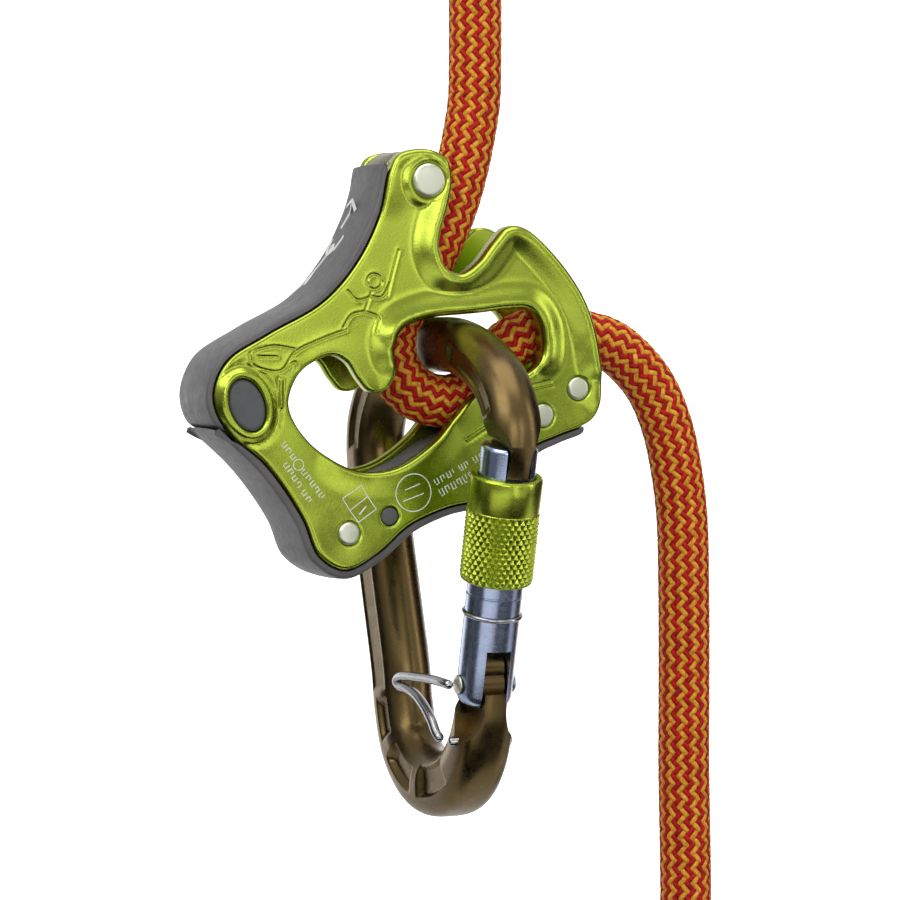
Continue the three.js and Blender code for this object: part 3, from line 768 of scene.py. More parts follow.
strips += words((-38.2, -1.9), (-33.2, -9.2), [0.55, 0.25], 1.1)
strips += [on_plate(ring_points(-35.5, -2.1, 1.05, 40)[np.r_[0:40, 0]], 0.17, 41)]
ink_on_plate = ink_piece("plate_print", strips)

band = smooth_line(UPPER_COVER, 0.25, closed=True)
band_out = outward(band)
band = band[40:]
band_out = band_out[40:]


def on_cover(points, width=0.42, count=26):
    """Strokes drawn as (height, y) pairs on the outer face of the upper cover."""
    face = [i for i in range(len(band)) if 26 < band[i, 1] < 55 and band_out[i, 0] < -0.5]
    face = sorted(face, key=lambda i: band[i, 1])
    p = np.asarray(points, float)
    steps = np.linspace(0, len(p) - 1, count)
    z, y = (np.interp(steps, range(len(p)), p[:, k]) for k in (0, 1))
    x = np.interp(z, band[face, 1], band[face, 0])
    ox, oz = (np.interp(z, band[face, 1], band_out[face, k]) for k in (0, 1))
    sunk = crown(y)
    line = np.column_stack([x - ox * sunk, y, z - oz * sunk])
    return ink_strip(line, np.column_stack([ox, np.zeros(count), oz]), width)


figure = [
    [(32.0, 8.1), (34.6, 6.9), (35.8, 6.6)], [(33.0, 5.6), (35.8, 6.6)], [(35.8, 6.6), (38.9, 5.4)],
    [(38.9, 5.4), (40.2, 2.6), (42.6, 1.2)], [(38.9, 5.4), (40.0, 7.2), (42.2, 7.6)],
]
strips = [on_cover(stroke_line, 0.95) for stroke_line in figure]
head = np.linspace(0, 2 * math.pi, 25)
strips += [on_cover(np.column_stack([40.3 + 0.5 * np.cos(head), 4.8 + 0.65 * np.sin(head)]), 0.9)]
strips += [on_cover([(44.2, 5.2), (49.6, 2.2)], 1.0), on_cover([(47.6, 0.2), (49.7, 2.2), (48.6, 5.4)], 0.9)]
ink_on_cover = ink_piece("cover_print", strips)
print("ink strokes:", len(ink_on_plate.data.polygons) + len(ink_on_cover.data.polygons), "faces")

# %% [markdown]
# ## Rivets and spacers
# Shouldered rivets hold the plates apart. Their heads are turned, then peened a little, so each one
# is a shallow dome with a soft edge that sits just proud of the plate. Everything here is a lathe job.

# %% Lathe work
def lathe_grid(profile, count=64):
    p = np.asarray(profile, float)
    a = np.linspace(0, 2 * math.pi, count, endpoint=False)
    ring = np.stack([p[:, :1] * np.cos(a), np.repeat(p[:, 1:2], count, 1), p[:, :1] * np.sin(a)], axis=-1)
    return ring


def lathe_piece(name, profile, place, body, replaces=(), count=64, closed=False):
    """profile is (radius, height) pairs; place turns local x, height, z into the device frame."""
    grid = lathe_grid(profile, count)
    faces = grid_faces(grid.shape, closed=closed)
    piece = new_piece(name, place(grid.reshape(-1, 3)), faces, None, replaces)
    fix_normals(piece)
    if body:
        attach(piece, body)
    return piece


def across_plates(x, z):
    return lambda p: p + [x, 0, z]


def rivet_profile(r, top):
    steps = (0.04, 0.2, 0.35, 0.55, 0.7, 0.8, 0.87, 0.92, 0.96, 0.985, 1.0)
    dome = [(r * f, top - 0.10 * f ** 2 - 0.42 * max(0, (f - 0.78) / 0.22) ** 2) for f in steps]
    down = [(a, -b) for a, b in dome]
    return down + [(r, -2), (r, 2)] + dome[::-1]


for name, (x, z, r) in RIVETS.items():
    top = 10.85 if name == "top_rivet" else 10.0
    lathe_piece(name + "_turned", rivet_profile(r, top), across_plates(x, z), "device", [name])
for name, key, wall in (("top_spacer", "top_rivet", 0.8), ("brake_spacer_upper", "brake_rivet_upper", 1.5),
                        ("brake_spacer_lower", "brake_rivet_lower", 1.5)):
    x, z, r = RIVETS[key]
    outer, bore = r + wall, r + 0.15
    profile = [(bore, -6.2), (outer - 0.3, -6.2), (outer, -5.9)]
    profile += [(r, -y) for r, y in profile[::-1]]
    tube = lathe_piece(name + "_turned", profile, across_plates(x, z), "device",
                       [name], closed=True)
    shade_by_angle(tube)

# %% [markdown]
# ## The connector
# The connector is forged from a round bar into a pear: a wide top that sits in the slot, a spine
# that is pressed into a bead and a flat web, and a narrow bottom with three lightening pockets.
# It stands square across the plates, turned just a couple of degrees. It is a sweep whose section
# changes along the way, and the pockets are pressed into its sides.

# %% Connector frame and section
CONNECTOR_TURN = math.radians(2.5)
PIVOT = (-19.7, -44.95)
KEEPER_HOLE = (-16.9, -56.4)
LEAN = math.radians(13.7)


def in_connector(p):
    """u across (towards the spine), z up, w through the connector, into the device frame."""
    p = np.asarray(p, float)
    u, z, w = p[..., 0], p[..., 1], p[..., 2]
    x = -1.5 - u * math.sin(CONNECTOR_TURN) + w * math.cos(CONNECTOR_TURN)
    return np.stack([x, u * math.cos(CONNECTOR_TURN) + w * math.sin(CONNECTOR_TURN), z], axis=-1)


def in_gate(p):
    """Local x, distance up the gate, w into the device frame."""
    p = np.asarray(p, float)
    x, s, w = p[..., 0], p[..., 1], p[..., 2]
    u = PIVOT[0] + x * math.cos(LEAN) - s * math.sin(LEAN)
    z = PIVOT[1] + x * math.sin(LEAN) + s * math.cos(LEAN)
    return in_connector(np.stack([u, z, w], axis=-1))


BODY_PATH = [
    (-31.8, -6), (-32.7, 0), (-31.9, 7), (-27, 13.6), (-18, 18.2), (-8, 20.7), (0, 21.1), (8, 20.7),
    (18, 18.2), (27, 12.9),
    (32.3, 5.6), (33.4, 0), (32, -8), (25.7, -28), (20, -46), (18.9, -52), (15.6, -60), (8.6, -65.3),
    (0, -66.8),
    (-8.6, -64.6), (-15.2, -58.8), (-18.6, -52), (-19.7, -45.8),
]
spine_road = smooth_line(BODY_PATH, 0.5)
body_run = run_of(spine_road)


def body_at(u, z):
    return body_run[int(np.argmin(np.hypot(spine_road[:, 0] - u, spine_road[:, 1] - z)))]


POCKETS = [
    (body_at(-31.6, 7.8), body_at(-13, 19.6), -2.2, 2.0, 0.9),
    (body_at(27.5, 12.4), body_at(33.4, -1), -2.2, 2.4, 0.75),
    (body_at(31.4, -9), body_at(19.6, -50), -2.3, 4.4, 0.62),
    (body_at(19.1, -51.2), body_at(16.2, -58.9), -2.4, 2.3, 1.0),
    (body_at(14.4, -61.4), body_at(4.4, -66.4), -2.8, 2.5, 1.35),
    (body_at(1.4, -66.9), body_at(-11.6, -62.7), -4.0, 2.8, 1.35),
]


def body_section(s, a):
    """In-plane offset (outward) and half width of the body's skin at length s and angle a."""
    top, bow = body_at(20, 17.4), body_at(32.6, 4)
    full, hinge = body_at(-12, -62.2), body_run[-1]
    t = np.interp(s, [0, top, bow, full, hinge], [0, 0, 1, 1, 0.2])
    depth = 5.5 + 1.1 * (t * t * (3 - 2 * t))
    c, d = np.cos(a), np.sin(a)
    n = depth * c
    boxy = np.where(c > 0, 2.0 + 1.6 * t * np.clip(c * 2, 0, 1), 2.0)
    w = 5.5 * np.sign(d) * (1 - np.clip(np.abs(c), 0, 1) ** boxy) ** (1 / boxy)
    for start, stop, n0, n1, sunk in POCKETS:
        ends = np.clip(np.minimum(s - start, stop - s) / 1.5, 0, 1)
        sides = np.clip(np.minimum(n - n0, n1 - n) / 1.1, 0, 1)
        shape = np.minimum(ends, sides)
        shape = shape * shape * (3 - 2 * shape)
        floor = np.minimum(np.abs(w), np.maximum(np.abs(w).max(1, keepdims=True) - sunk, 0))
        w = np.where(shape > 0, np.sign(w) * (np.abs(w) * (1 - shape) + floor * shape), w)
    return n, w


# %% Forge the body
angles = np.linspace(0, 2 * math.pi, 144, endpoint=False)
s_grid, a_grid = np.meshgrid(body_run, angles, indexing="ij")
n_grid, w_grid = body_section(s_grid, a_grid)
ahead = np.gradient(spine_road, axis=0)
ahead /= np.linalg.norm(ahead, axis=1)[:, None]
left_of = np.column_stack([-ahead[:, 1], ahead[:, 0]])
centre = spine_road[:, None, :]
points = centre + left_of[:, None, :] * n_grid[..., None]
body_grid = np.concatenate([points, w_grid[..., None]], axis=2)
body = tube_piece("connector_forging", in_connector(body_grid), None, ["connector_body"])
fix_normals(body)


def disc_tool(u, z, r, w0, w1, count=96):
    a = np.linspace(0, 2 * math.pi, count, endpoint=False)
    u, z = u + r * np.cos(a), z + r * np.sin(a)
    rings = [np.column_stack([u, z, np.full(count, w)]) for w in (w0, w1)]
    return tool_piece(in_connector(np.vstack(rings)), grid_faces((2, count)))


def block_tool(u0, u1, z0, z1, w0, w1, place=in_connector):
    corners = np.array([(u, z, w) for u in (u0, u1) for z in (z0, z1) for w in (w0, w1)], float)
    faces = [(0, 1, 3, 2), (4, 6, 7, 5), (0, 4, 5, 1), (2, 3, 7, 6), (0, 2, 6, 4), (1, 5, 7, 3)]
    return tool_piece(place(corners), faces)


TONGUE = 2.25
PIN_HOLE = 1.9
SHOULDER_AT, NOSE_AT, CHEEK_R = 49.5, 43.2, 6.2
NECK_R, HEEL_R = 12, 8.2
for w0, w1 in ((-10, -TONGUE), (TONGUE, 10)):
    shoulder = disc_tool(*PIVOT, SHOULDER_AT, w0, w1, 160)
    carve(shoulder, block_tool(-50, -20, -20, 12, -12, 12), way="INTERSECT")
    carve(body, shoulder, disc_tool(*PIVOT, CHEEK_R, w0, w1))


def roller_tool(u_mid, z, w, r, count=144):
    """A round bar along u, for pressing a hollow into the side of the body."""
    ring = [(u_mid + 12 * d, z + r * math.cos(a), w + r * math.sin(a))
            for d in (-1, 1) for a in np.linspace(0, 2 * math.pi, count, endpoint=False)]
    return tool_piece(in_connector(np.array(ring)), grid_faces((2, count)))


for side in (-1, 1):
    carve(body, roller_tool(-32, -1, side * (TONGUE + 0.05 + NECK_R), NECK_R))
    carve(body, roller_tool(-29.5, PIVOT[1] - 5.1, side * (TONGUE + 0.05 + HEEL_R), HEEL_R))
through_sleeve = [(0.05, 0), (5.3, 0), (5.3, 43.5), (6.1, 48), (11, 58), (0.05, 58)]
rings = lathe_grid(through_sleeve, 96)
bar = tool_piece(in_gate(rings.reshape(-1, 3)), grid_faces(rings.shape))
nose_trim = block_tool(-50, -20, -20, 7, -10, 10)
carve(nose_trim, bar)
carve(body, nose_trim)
nose_end = disc_tool(*PIVOT, NOSE_AT, -10, 10, 160)
carve(nose_end, block_tool(-50, -20, -20, 12, -12, 12), way="INTERSECT")
carve(body, nose_end)
TIP = (PIVOT[0] - 3.5 * math.sin(LEAN), PIVOT[1] + 3.5 * math.cos(LEAN))
carve(body, block_tool(-40, 0, PIVOT[1], -36, -10, 10))
carve(body, disc_tool(*KEEPER_HOLE, 1.1, -20, 20, 32), disc_tool(*PIVOT, PIN_HOLE, -20, 20, 40))
tongue = disc_tool(*PIVOT, 4.3, -TONGUE - 0.003, TONGUE + 0.003)
carve(tongue, disc_tool(*TIP, 3.4, -TONGUE + 0.01, TONGUE - 0.01), way="UNION")
carve(tongue, disc_tool(*PIVOT, PIN_HOLE, -20, 20, 40))
carve(body, tongue, way="UNION")
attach(body, "connector")
shade_by_angle(body, 38)
print("forging:", len(body.data.vertices), "vertices")

# %% [markdown]
# ## Gate, sleeve and stop ring
# The gate is a turned tube, forked at both ends: the top fork takes the nose, the bottom one the
# hinge. A wire ring in a groove stops the screw sleeve. The sleeve has a smooth collar and a diamond
# knurl, cut by two crossing sets of helical grooves, so its lands are little pyramids.

# %% Gate
def block_in_gate(*size):
    return block_tool(*size, place=in_gate)


FOOT, TOP_END, RING_AT = -4.3, 48.5, 14.5
gate_profile = [
    (0.05, FOOT), (2.6, FOOT), (3.6, FOOT + 0.12), (4.4, FOOT + 0.5), (5.0, FOOT + 1.1), (5.35, FOOT + 1.9),
    (5.5, FOOT + 2.9), (5.5, 5.0), (5.5, RING_AT - 0.5),
    (5.15, RING_AT - 0.45), (5.15, RING_AT + 0.45), (5.5, RING_AT + 0.5), (5.5, 18.35), (5.3, 18.5),
    (5.3, 18.7), (5.5, 18.85),
    (5.5, 30), (5.5, TOP_END - 1.1), (5.4, TOP_END - 0.6), (5.1, TOP_END - 0.2), (4.6, TOP_END),
    (0.05, TOP_END),
]
gate = lathe_piece("gate_tube", gate_profile, in_gate, None, ["gate_body"], count=96)
carve(gate, block_in_gate(-10, 10, 42.0, 60, -2.6, 2.6), block_in_gate(-10, 10, -20, 8.1, -2.6, 2.6))
spring_room = [(0.05, 7.5), (2.35, 7.5), (2.35, 18), (0.05, 18)]
bore = lathe_piece("tool_bore", spring_room, in_gate, None, count=24)
carve(gate, bore)
carve(gate, disc_tool(*PIVOT, PIN_HOLE, -20, 20, 40))
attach(gate, "gate")
shade_by_angle(gate, 28)

around = np.linspace(0, 2 * math.pi, 14, endpoint=False)
ring_profile = [(5.58 + 0.42 * math.cos(a), RING_AT + 0.42 * math.sin(a)) for a in around]
lathe_piece("stop_ring_wire", ring_profile, in_gate, "gate", ["gate_stop_ring"], closed=True)

# %% Screw sleeve with its knurl
KNURL_STARTS, KNURL_DEPTH, KNURL_SLOPE = 30, 0.5, math.tan(math.radians(37.6))
SLEEVE_FOOT, SLEEVE_LEN, SLEEVE_R = 21.2, 21.3, 7.17
SLEEVE_TOP = SLEEVE_FOOT + SLEEVE_LEN
skin = [(6.15, SLEEVE_FOOT), (6.55, SLEEVE_FOOT)]
knurl_low, knurl_high = SLEEVE_FOOT + 0.95, SLEEVE_TOP - 7.2
quarter = np.linspace(0.15, math.pi / 2, 6)
skin += [(6.55 + 0.62 * math.sin(t), knurl_low - 0.95 * math.cos(t)) for t in quarter]
skin += [(SLEEVE_R, z) for z in np.arange(knurl_low + 0.12, knurl_high, 0.12)]
collar = [
    (7.1, 7.1), (7.02, 6.95), (7.08, 6.75), (7.1, 3), (7.1, 0.7), (6.95, 0.3), (6.65, 0.06), (6.3, 0), (6.0, 0),
    (5.75, 0.15), (5.65, 0.4),
]
skin += [(r, SLEEVE_TOP - down) for r, down in collar]
skin += [(5.65, SLEEVE_FOOT + 1.9), (6.15, SLEEVE_FOOT + 1.9)]
count = 540
grid = lathe_grid(skin, count)
radius = np.linalg.norm(grid[..., [0, 2]], axis=2)
height = grid[..., 1]
turn_at = np.arctan2(grid[..., 2], grid[..., 0])
climb = height / SLEEVE_R * KNURL_SLOPE
first = np.abs(((turn_at + climb) * KNURL_STARTS / (2 * math.pi)) % 1 - 0.5) * 2
second = np.abs(((turn_at - climb) * KNURL_STARTS / (2 * math.pi)) % 1 - 0.5) * 2
groove = KNURL_DEPTH * np.clip(np.maximum(first, second) * 1.2 - 0.2, 0, 1)
knurled = (radius > 6.6) & (height < knurl_high + 0.02)
edge_fade = np.clip((radius - 6.75) / 0.4, 0, 1) * np.clip((knurl_high + 0.05 - height) / 0.25, 0, 1)
scale = np.where(knurled, 1 - groove * edge_fade / np.maximum(radius, 1e-6), 1.0)
grid[..., 0] *= scale
grid[..., 2] *= scale
verts = in_gate(grid.reshape(-1, 3))
faces = grid_faces(grid.shape, closed=True)
sleeve = new_piece("screw_sleeve_knurled", verts, faces, None, ["screw_sleeve"])
fix_normals(sleeve)
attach(sleeve, "sleeve")
shade_by_angle(sleeve, 40)

# %% [markdown]
# ## Hinge pin and wire keeper
# A bent spring wire crosses the bottom of the connector and keeps the harness loop at the narrow
# end. One end turns in the hollow hinge pin, the other in a hole lower down.

# %% Pins and wire
pin_half = [(0.05, -6.3), (1.0, -6.26), (1.55, -6.12), (1.85, -5.92), (1.95, -5.72), (1.75, -5.68)]
pin_profile = pin_half + [(r, -y) for r, y in pin_half[::-1]]


def through(u, z):
    return lambda p: in_connector(np.stack([u + p[..., 0], z + p[..., 2], p[..., 1]], axis=-1))


lathe_piece("hinge_pin_turned", pin_profile, through(*PIVOT), "connector",
            ["hinge_pin"], count=40)
WIRE_R = 0.95
ball = [(1.9 * math.cos(t), 5.66 + 1.35 * math.sin(t)) for t in np.linspace(0, math.pi / 2 - 0.03, 12)]
domed_pin = [(0.05, -6.5), (0.75, -6.45), (0.95, -6.2), (0.95, 5.66)] + ball
lathe_piece("keeper_pin_turned", domed_pin, through(*KEEPER_HOLE), "connector",
            ["keeper_pin"], count=32)


def wire_grid(line, radius, sides, rounded=True):
    tangent, normal, side = road_frames(line)
    a = np.linspace(0, 2 * math.pi, sides, endpoint=False)
    around = np.cos(a)[None, :, None] * normal[:, None] + np.sin(a)[None, :, None] * side[:, None]
    size = np.full(len(line), radius)
    if rounded:
        length = run_of(line)
        end = np.minimum(length, length[-1] - length)
        size = radius * np.sqrt(np.clip(1 - (1 - np.clip(end / radius, 0, 1)) ** 2, 0.004, 1))
    return line[:, None] + around * size[:, None, None]


KEEPER = [
    (-20.4, -45, -7.5), (-18.4, -44.7, -7.9), (-13.3, -44.5, -8), (-6.4, -44.7, -8), (0, -45, -8),
    (3.5, -45.5, -8),
    (4.9, -46.4, -8), (3.4, -47.2, -8), (0, -47.4, -8), (-4.6, -48.3, -8), (-8.4, -50, -8),
    (-12, -52.4, -8),
    (-14.6, -54.9, -8), (-16.2, -56.1, -7.7),
]
keeper_line = in_connector(smooth_line(KEEPER, 0.35))
tube_piece("keeper_wire", wire_grid(keeper_line, WIRE_R, 20), "keeper", ["wire_keeper"])

# %% [markdown]
# ## Ends of the rope
# A rope sample is finished by the maker: the top is sewn back into an eye under a shrunk cover, and
# the bottom is sealed in a short shrunk sleeve. The cover shows the shape of the two legs inside.

# %% Shrunk covers
CAP_FOOT, CAP_X = -118.5, 52.5
cap_shape = [
    (0.05, 0), (4.2, 0), (5.0, 0.15), (5.6, 0.6), (5.95, 1.6), (6.0, 6), (6.06, 11), (6.0, 16.5), (5.85, 17.7),
    (5.6, 18.15), (5.35, 18.2), (5.35, 2.2), (0.05, 2.2),
]


def upright(p):
    return np.stack([CAP_X + p[..., 0], p[..., 2], p[..., 1]], axis=-1)


cap_profile = [(r, CAP_FOOT + up) for r, up in cap_shape]
end_sleeve = lathe_piece("end_sleeve_shrunk", cap_profile, upright, "device", ["end_sleeve"])


def stadium(extra, count=24):
    r = 5.25 + extra
    half = np.linspace(0, math.pi, count)
    far = np.column_stack([5.4 + r * np.cos(half), 10.9 + r * np.sin(half)])
    near = np.column_stack([5.4 - r * np.cos(half), -r * np.sin(half)])
    return np.vstack([far, near])


rows = [(0.2, 95.6), (0.9, 95.5), (1.15, 95.8), (1.25, 96.6)]
rows += [(1.22 + 0.07 * math.sin(i * 1.9), 97.5 + i * 1.18) for i in range(21)]
rows += [(1.25, 122), (1.1, 122.8), (0.8, 123), (0.2, 122.9)]
loops = [np.column_stack([stadium(e), np.full(48, z)]) for e, z in rows]
grid = np.stack(loops)
faces = grid_faces(grid.shape, closed=True)
eye_sleeve = new_piece("eye_sleeve_shrunk", grid.reshape(-1, 3), faces, None, ["eye_sleeve"])
fix_normals(eye_sleeve)
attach(eye_sleeve, "device")

# %% [markdown]
# ## Finishes
# Every finish is made from nodes, so it stays sharp at any distance. Metals get a fine grain and a
# little wear in their roughness; anodising keeps the metal's shine under a transparent dye, so it is
# a metal with a strong colour. Nylon has a moulded grain. Rope yarns have fine fibres along them.

# %% Material helpers
def rgb(r, g, b):
    """A display colour from 0 to 255 as linear light."""
    light_of = [((c / 255 + 0.055) / 1.055) ** 2.4 if c > 10 else c / 255 / 12.92 for c in (r, g, b)]
    return (*light_of, 1.0)


class Finish:
    """A material being put together, with short ways to add noise, mixes and bumps."""

    def __init__(self, name, rough=0.4, metal=0.0):
        self.material = bpy.data.materials.new(name)
        self.material.use_nodes = True
        self.tree = self.material.node_tree
        self.shader = self.tree.nodes["Principled BSDF"]
        self.shader.inputs["Roughness"].default_value = rough
        self.shader.inputs["Metallic"].default_value = metal
        self.place = self.tree.nodes.new("ShaderNodeTexCoord").outputs["Object"]

    def link(self, a, b):
        self.tree.links.new(a, b)

    def stretched(self, scale):
        node = self.tree.nodes.new("ShaderNodeMapping")
        node.inputs["Scale"].default_value = scale
        self.link(self.place, node.inputs["Vector"])
        return node.outputs["Vector"]

    def noise(self, scale, detail=3.0, where=None, rough=0.5):
        node = self.tree.nodes.new("ShaderNodeTexNoise")
        node.inputs["Scale"].default_value = scale
        node.inputs["Detail"].default_value = detail
        node.inputs["Roughness"].default_value = rough
        self.link(where or self.place, node.inputs["Vector"])
        return node.outputs["Fac"]

    def joined(self, operation, a, b):
        node = self.tree.nodes.new("ShaderNodeMath")
        node.operation = operation
        self.link(a, node.inputs[0])
        self.link(b, node.inputs[1])
        return node.outputs["Value"]

    def axis(self, letter):
        node = self.tree.nodes.new("ShaderNodeSeparateXYZ")
        self.link(self.place, node.inputs["Vector"])
        return node.outputs[letter]

    def glow(self, strength):
        self.shader.inputs["Emission Color"].default_value = (1, 1, 1, 1)
        self.link(strength, self.shader.inputs["Emission Strength"])

    def ramp(self, value, low, high, out_low, out_high):
        node = self.tree.nodes.new("ShaderNodeMapRange")
        for key, number in (("From Min", low), ("From Max", high), ("To Min", out_low), ("To Max", out_high)):
            node.inputs[key].default_value = number
        self.link(value, node.inputs["Value"])
        return node.outputs["Result"]

    def colours(self, value, stops):
        node = self.tree.nodes.new("ShaderNodeValToRGB")
        ramp = node.color_ramp
        while len(ramp.elements) < len(stops):
            ramp.elements.new(0.5)
        for element, (at_value, colour) in zip(ramp.elements, stops):
            element.position, element.color = at_value, colour
        self.link(value, node.inputs["Fac"])
        self.link(node.outputs["Color"], self.shader.inputs["Base Color"])
        return node

    def bump(self, value, depth, after=None):
        node = self.tree.nodes.new("ShaderNodeBump")
        node.inputs["Strength"].default_value = 1.0
        node.inputs["Distance"].default_value = depth
        self.link(value, node.inputs["Height"])
        if after:
            self.link(after, node.inputs["Normal"])
        self.link(node.outputs["Normal"], self.shader.inputs["Normal"])
        return node.outputs["Normal"]


# %% Metals
def metal(name, dark, light, rough, spread, grain=2600.0, depth=0.000012, scratch=0.0):
    f = Finish(name, rough, 1.0)
    cloud = f.noise(55.0, 4.0)
    f.colours(cloud, [(0.3, dark), (0.7, light)])
    speck = f.noise(grain, 2.0)
    wear = f.noise(420.0, 5.0, rough=0.65)
    f.link(f.ramp(wear, 0.3, 0.7, rough - spread, rough + spread), f.shader.inputs["Roughness"])
    first = f.bump(speck, depth)
    if scratch:
        lines = f.noise(900.0, 3.0, f.stretched((0.15, 0.15, 9.0)))
        f.bump(lines, scratch, first)
    return f.material


lime = metal("lime_anodised_metal", rgb(156, 174, 58), rgb(172, 188, 70), 0.26, 0.04)
lime_bright = metal("lime_sleeve_metal", rgb(158, 174, 54), rgb(178, 192, 70), 0.27, 0.04)
bronze = metal("bronze_anodised_metal", rgb(98, 82, 50), rgb(116, 97, 62), 0.30, 0.06, depth=0.000008)
silver = metal("polished_gate_metal", rgb(160, 172, 202), rgb(184, 194, 218), 0.24, 0.05, scratch=0.000004)
steel = metal("rivet_head_metal", rgb(196, 200, 176), rgb(222, 224, 206), 0.38, 0.06, scratch=0.000006)
wire_metal = metal("spring_wire_metal", rgb(150, 150, 150), rgb(190, 190, 192), 0.2, 0.05)
alloy = metal("turned_spacer_metal", rgb(120, 116, 96), rgb(150, 146, 122), 0.33, 0.06, scratch=0.000006)


# %% Nylon, shrink tube and ink
def moulded(name, dark, light, rough, depth):
    f = Finish(name, rough)
    f.colours(f.noise(160.0, 4.0), [(0.3, dark), (0.7, light)])
    f.link(f.ramp(f.noise(700.0, 4.0), 0.3, 0.7, rough - 0.06, rough + 0.08), f.shader.inputs["Roughness"])
    grain = f.bump(f.noise(2200.0, 3.0), depth)
    f.bump(f.noise(240.0, 2.0), depth * 1.4, grain)
    return f.material


nylon = moulded("grey_nylon_moulded", rgb(86, 84, 84), rgb(98, 96, 95), 0.44, 0.00003)
boss_nylon = moulded("dark_nylon_moulded", rgb(70, 71, 74), rgb(84, 85, 88), 0.40, 0.00003)
shrink = moulded("black_shrink_tube", rgb(20, 20, 22), rgb(32, 32, 34), 0.42, 0.00005)
ink = moulded("white_ink", rgb(214, 214, 208), rgb(236, 236, 230), 0.5, 0.00001)


# %% Yarns
def yarn(name, dark, mid, light):
    """Twisted nylon yarn: fine fibres run across the strand's lean."""
    f = Finish(name, 0.62)
    fibres = f.noise(5200.0, 2.0, f.stretched((1.0, 1.0, 0.45)))
    patch = f.noise(700.0, 3.0)
    mixed = f.joined("ADD", f.ramp(fibres, 0.3, 0.7, 0.0, 0.55), f.ramp(patch, 0.3, 0.7, 0.0, 0.45))
    f.colours(mixed, [(0.1, dark), (0.5, mid), (0.95, light)])
    f.bump(fibres, 0.00012)
    f.shader.inputs["Specular IOR Level"].default_value = 0.25
    f.shader.inputs["Sheen Weight"].default_value = 0.03
    return f.material


red_yarn = yarn("red_yarn", rgb(116, 4, 5), rgb(180, 10, 9), rgb(204, 26, 18))
gold_yarn = yarn("gold_yarn", rgb(178, 106, 18), rgb(222, 152, 36), rgb(244, 190, 80))
# The core's dark red is painted shade, seen only in the gaps between the braid's strands.
core_shade_yarn = yarn("core_shadow_yarn", rgb(50, 4, 8), rgb(74, 8, 12), rgb(96, 14, 18))

# %% Dress every piece
DRESS = {
    "front_plate_skin": lime, "rear_plate_skin": lime, "upper_cover_skin": nylon, "lower_cover_skin": nylon,
    "cover_boss": boss_nylon, "cover_peg": boss_nylon, "connector_forging": bronze, "gate_tube": silver,
    "stop_ring_wire": wire_metal, "screw_sleeve_knurled": lime_bright, "hinge_pin_turned": steel,
    "keeper_pin_turned": wire_metal, "keeper_wire": wire_metal, "end_sleeve_shrunk": shrink, "eye_sleeve_shrunk": shrink, "sleeve_ring": shrink,
    "gate_plunger": steel, "gate_spring": wire_metal, "top_liner_pad": alloy,
    "plate_print": ink, "cover_print": ink,
}
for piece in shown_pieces():
    skins = piece.data.materials
    if piece.name.endswith("_braid") or piece.name in ("rope_loop_in", "rope_loop_out"):
        skins[0], skins[1] = red_yarn, gold_yarn
        continue
    if "core" in piece.name:
        chosen = core_shade_yarn
    elif piece.name in DRESS:
        chosen = DRESS[piece.name]
    else:
        chosen = alloy if "spacer" in piece.name else steel
    skins.clear()
    skins.append(chosen)

# %% [markdown]
# ## A plain studio
# The rig hangs in front of a pale sweep. One big soft light stands over the left shoulder, a long
# one lights the right, and dark cards at either side put deep tones in the metal.

# %% Backdrop, lights and cards
def flat_card(name, centre, facing, width, height, material):
    facing = Vector(facing).normalized()
    turned = facing.to_track_quat("Z", "Y").to_matrix().to_4x4()
    bm = bmesh.new()
    for x, y in ((-1, -1), (1, -1), (1, 1), (-1, 1)):
        bm.verts.new((x * width / 2, y * height / 2, 0))
    bm.faces.new(bm.verts)
    mesh = bpy.data.meshes.new(name)
    bm.to_mesh(mesh)
    bm.free()
    card = add_object(name, mesh)
    card.matrix_world = Matrix.Translation(centre) @ turned
    card.data.materials.append(material)
    card.visible_camera = False
    card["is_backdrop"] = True
    return card


pale = Finish("glowing_pale_sweep", 0.9)
pale.colours(pale.noise(3.0, 2.0), [(0.3, (0.86, 0.86, 0.86, 1)), (0.7, (0.9, 0.9, 0.9, 1))])
# The sweep glows rather than being lit: painted light, full behind the rig, faint on the floor and dimmer
# higher up.
sweep_glow_rise = pale.ramp(pale.axis("Z"), -0.70, -0.58, 0.05, 1.05)
sweep_glow_fade = pale.ramp(pale.axis("Z"), 0.14, 0.40, 1.0, 0.25)
pale.glow(pale.joined("MULTIPLY", sweep_glow_rise, sweep_glow_fade))
focus = Vector(at([0, 0, 0]))


def sweep_floor():
    bm = bmesh.new()
    side = Vector((math.cos(turn), math.sin(turn), 0))
    away = Vector((-math.sin(turn), math.cos(turn), 0))
    curve = np.linspace(0, math.pi / 2, 12)
    profile = [(-0.1, -0.62)] + [(1.2 + 0.5 * math.sin(t), -0.12 - 0.5 * math.cos(t)) for t in curve]
    profile += [(1.7, 2.4)]
    rows = []
    for d, z in profile:
        rows.append([bm.verts.new(focus + away * d + side * x + Vector((0, 0, z))) for x in (-2.2, 2.2)])
    for a, b in zip(rows, rows[1:]):
        bm.faces.new((a[0], a[1], b[1], b[0]))
    mesh = bpy.data.meshes.new("sweep")
    bm.to_mesh(mesh)
    bm.free()
    floor = add_object("sweep", mesh)
    floor.data.materials.append(pale.material)
    floor.data.shade_smooth()
    floor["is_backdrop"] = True


sweep_floor()


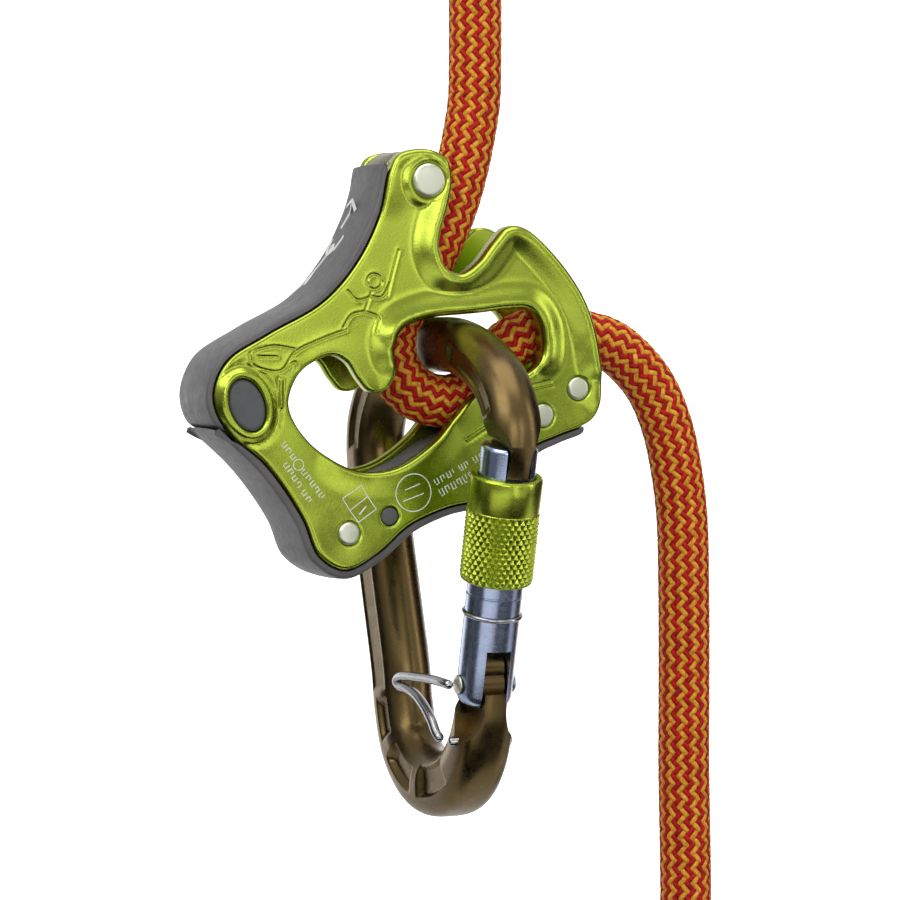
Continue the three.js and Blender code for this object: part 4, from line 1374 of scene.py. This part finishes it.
def light(name, azimuth, height, distance, wide, tall, power):
    lamp = bpy.data.lights.new(name, "AREA")
    lamp.shape, lamp.size, lamp.size_y, lamp.energy = "RECTANGLE", wide, tall, power
    way = toward(azimuth, height)
    piece = add_object(name, lamp)
    piece.location = focus + way * distance
    piece.rotation_mode = "QUATERNION"
    piece.rotation_quaternion = way.to_track_quat("Z", "Y")
    piece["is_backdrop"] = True


light("over_left", -60, 38, 1.1, 0.8, 0.6, 4.2)
light("overhead", -10, 78, 1.0, 1.0, 0.7, 4.5)
light("right_strip", 62, 14, 1.1, 0.25, 0.9, 1.6)
light("front_fill", -20, 12, 1.6, 0.7, 0.5, 3.4)

# %% [markdown]
# The plates are flat mirrors that face straight out, so what they show is whatever stands at the
# same angle on the other side of the camera. A glowing card is put there, with a soft dark blot in it,
# so the flats shine and the middle of the lower arm falls into deep green. A second card stands low in
# front, where the leaning gate and its sleeve can see it.

# %% Graded card
glow = Finish("graded_card", 1.0)
glow.shader.inputs["Base Color"].default_value = (0, 0, 0, 1)
glow.shader.inputs["Specular IOR Level"].default_value = 0.0
across = glow.ramp(glow.axis("X"), -0.02, 0.09, 0.34, 1.0)
blot = glow.tree.nodes.new("ShaderNodeVectorMath")
blot.operation = "DISTANCE"
blot.inputs[1].default_value = (0.034, -0.052, 0)
glow.link(glow.place, blot.inputs[0])
near = glow.ramp(blot.outputs["Value"], 0.06, 0.12, 0.0, 2.1)
glow.glow(glow.joined("MULTIPLY", across, near))


def card_at(name, azimuth, height, distance, width, tall, material):
    way = toward(azimuth, height)
    return flat_card(name, focus + way * distance, -way, width, tall, material)


card_at("graded_card", 24, 0, 0.55, 0.42, 0.5, glow.material)
soft = Finish("soft_card", 1.0)
soft.shader.inputs["Base Color"].default_value = (0, 0, 0, 1)
soft.glow(soft.ramp(soft.noise(2.0, 1.0), 0.3, 0.7, 1.10, 1.30))
card_at("low_front_card", -36, -24, 0.95, 1.1, 0.34, soft.material)
black = Finish("black_card", 0.9)
black.colours(black.noise(4.0, 1.0), [(0.3, (0.012, 0.012, 0.012, 1)), (0.7, (0.02, 0.02, 0.02, 1))])
card_at("right_flag", 98, 4, 0.6, 0.55, 0.6, black.material)
card_at("left_flag", -118, 4, 0.7, 0.4, 0.6, black.material)

# %% World
world = bpy.data.worlds.new("studio")
bpy.context.scene.world = world
world.use_nodes = True
sky = world.node_tree
coords = sky.nodes.new("ShaderNodeTexCoord")
split = sky.nodes.new("ShaderNodeSeparateXYZ")
grade = sky.nodes.new("ShaderNodeValToRGB")
grade.color_ramp.elements[0].position, grade.color_ramp.elements[0].color = 0.30, (0.02, 0.022, 0.025, 1)
grade.color_ramp.elements[1].position, grade.color_ramp.elements[1].color = 0.75, (0.75, 0.76, 0.78, 1)
shift = sky.nodes.new("ShaderNodeMapRange")
shift.inputs["From Min"].default_value, shift.inputs["From Max"].default_value = -1, 1
sky.links.new(coords.outputs["Generated"], split.inputs["Vector"])
sky.links.new(split.outputs["Z"], shift.inputs["Value"])
sky.links.new(shift.outputs["Result"], grade.inputs["Fac"])
sky.links.new(grade.outputs["Color"], sky.nodes["Background"].inputs["Color"])
sky.nodes["Background"].inputs["Strength"].default_value = 0.7
bpy.context.scene.view_settings.view_transform = "Standard"
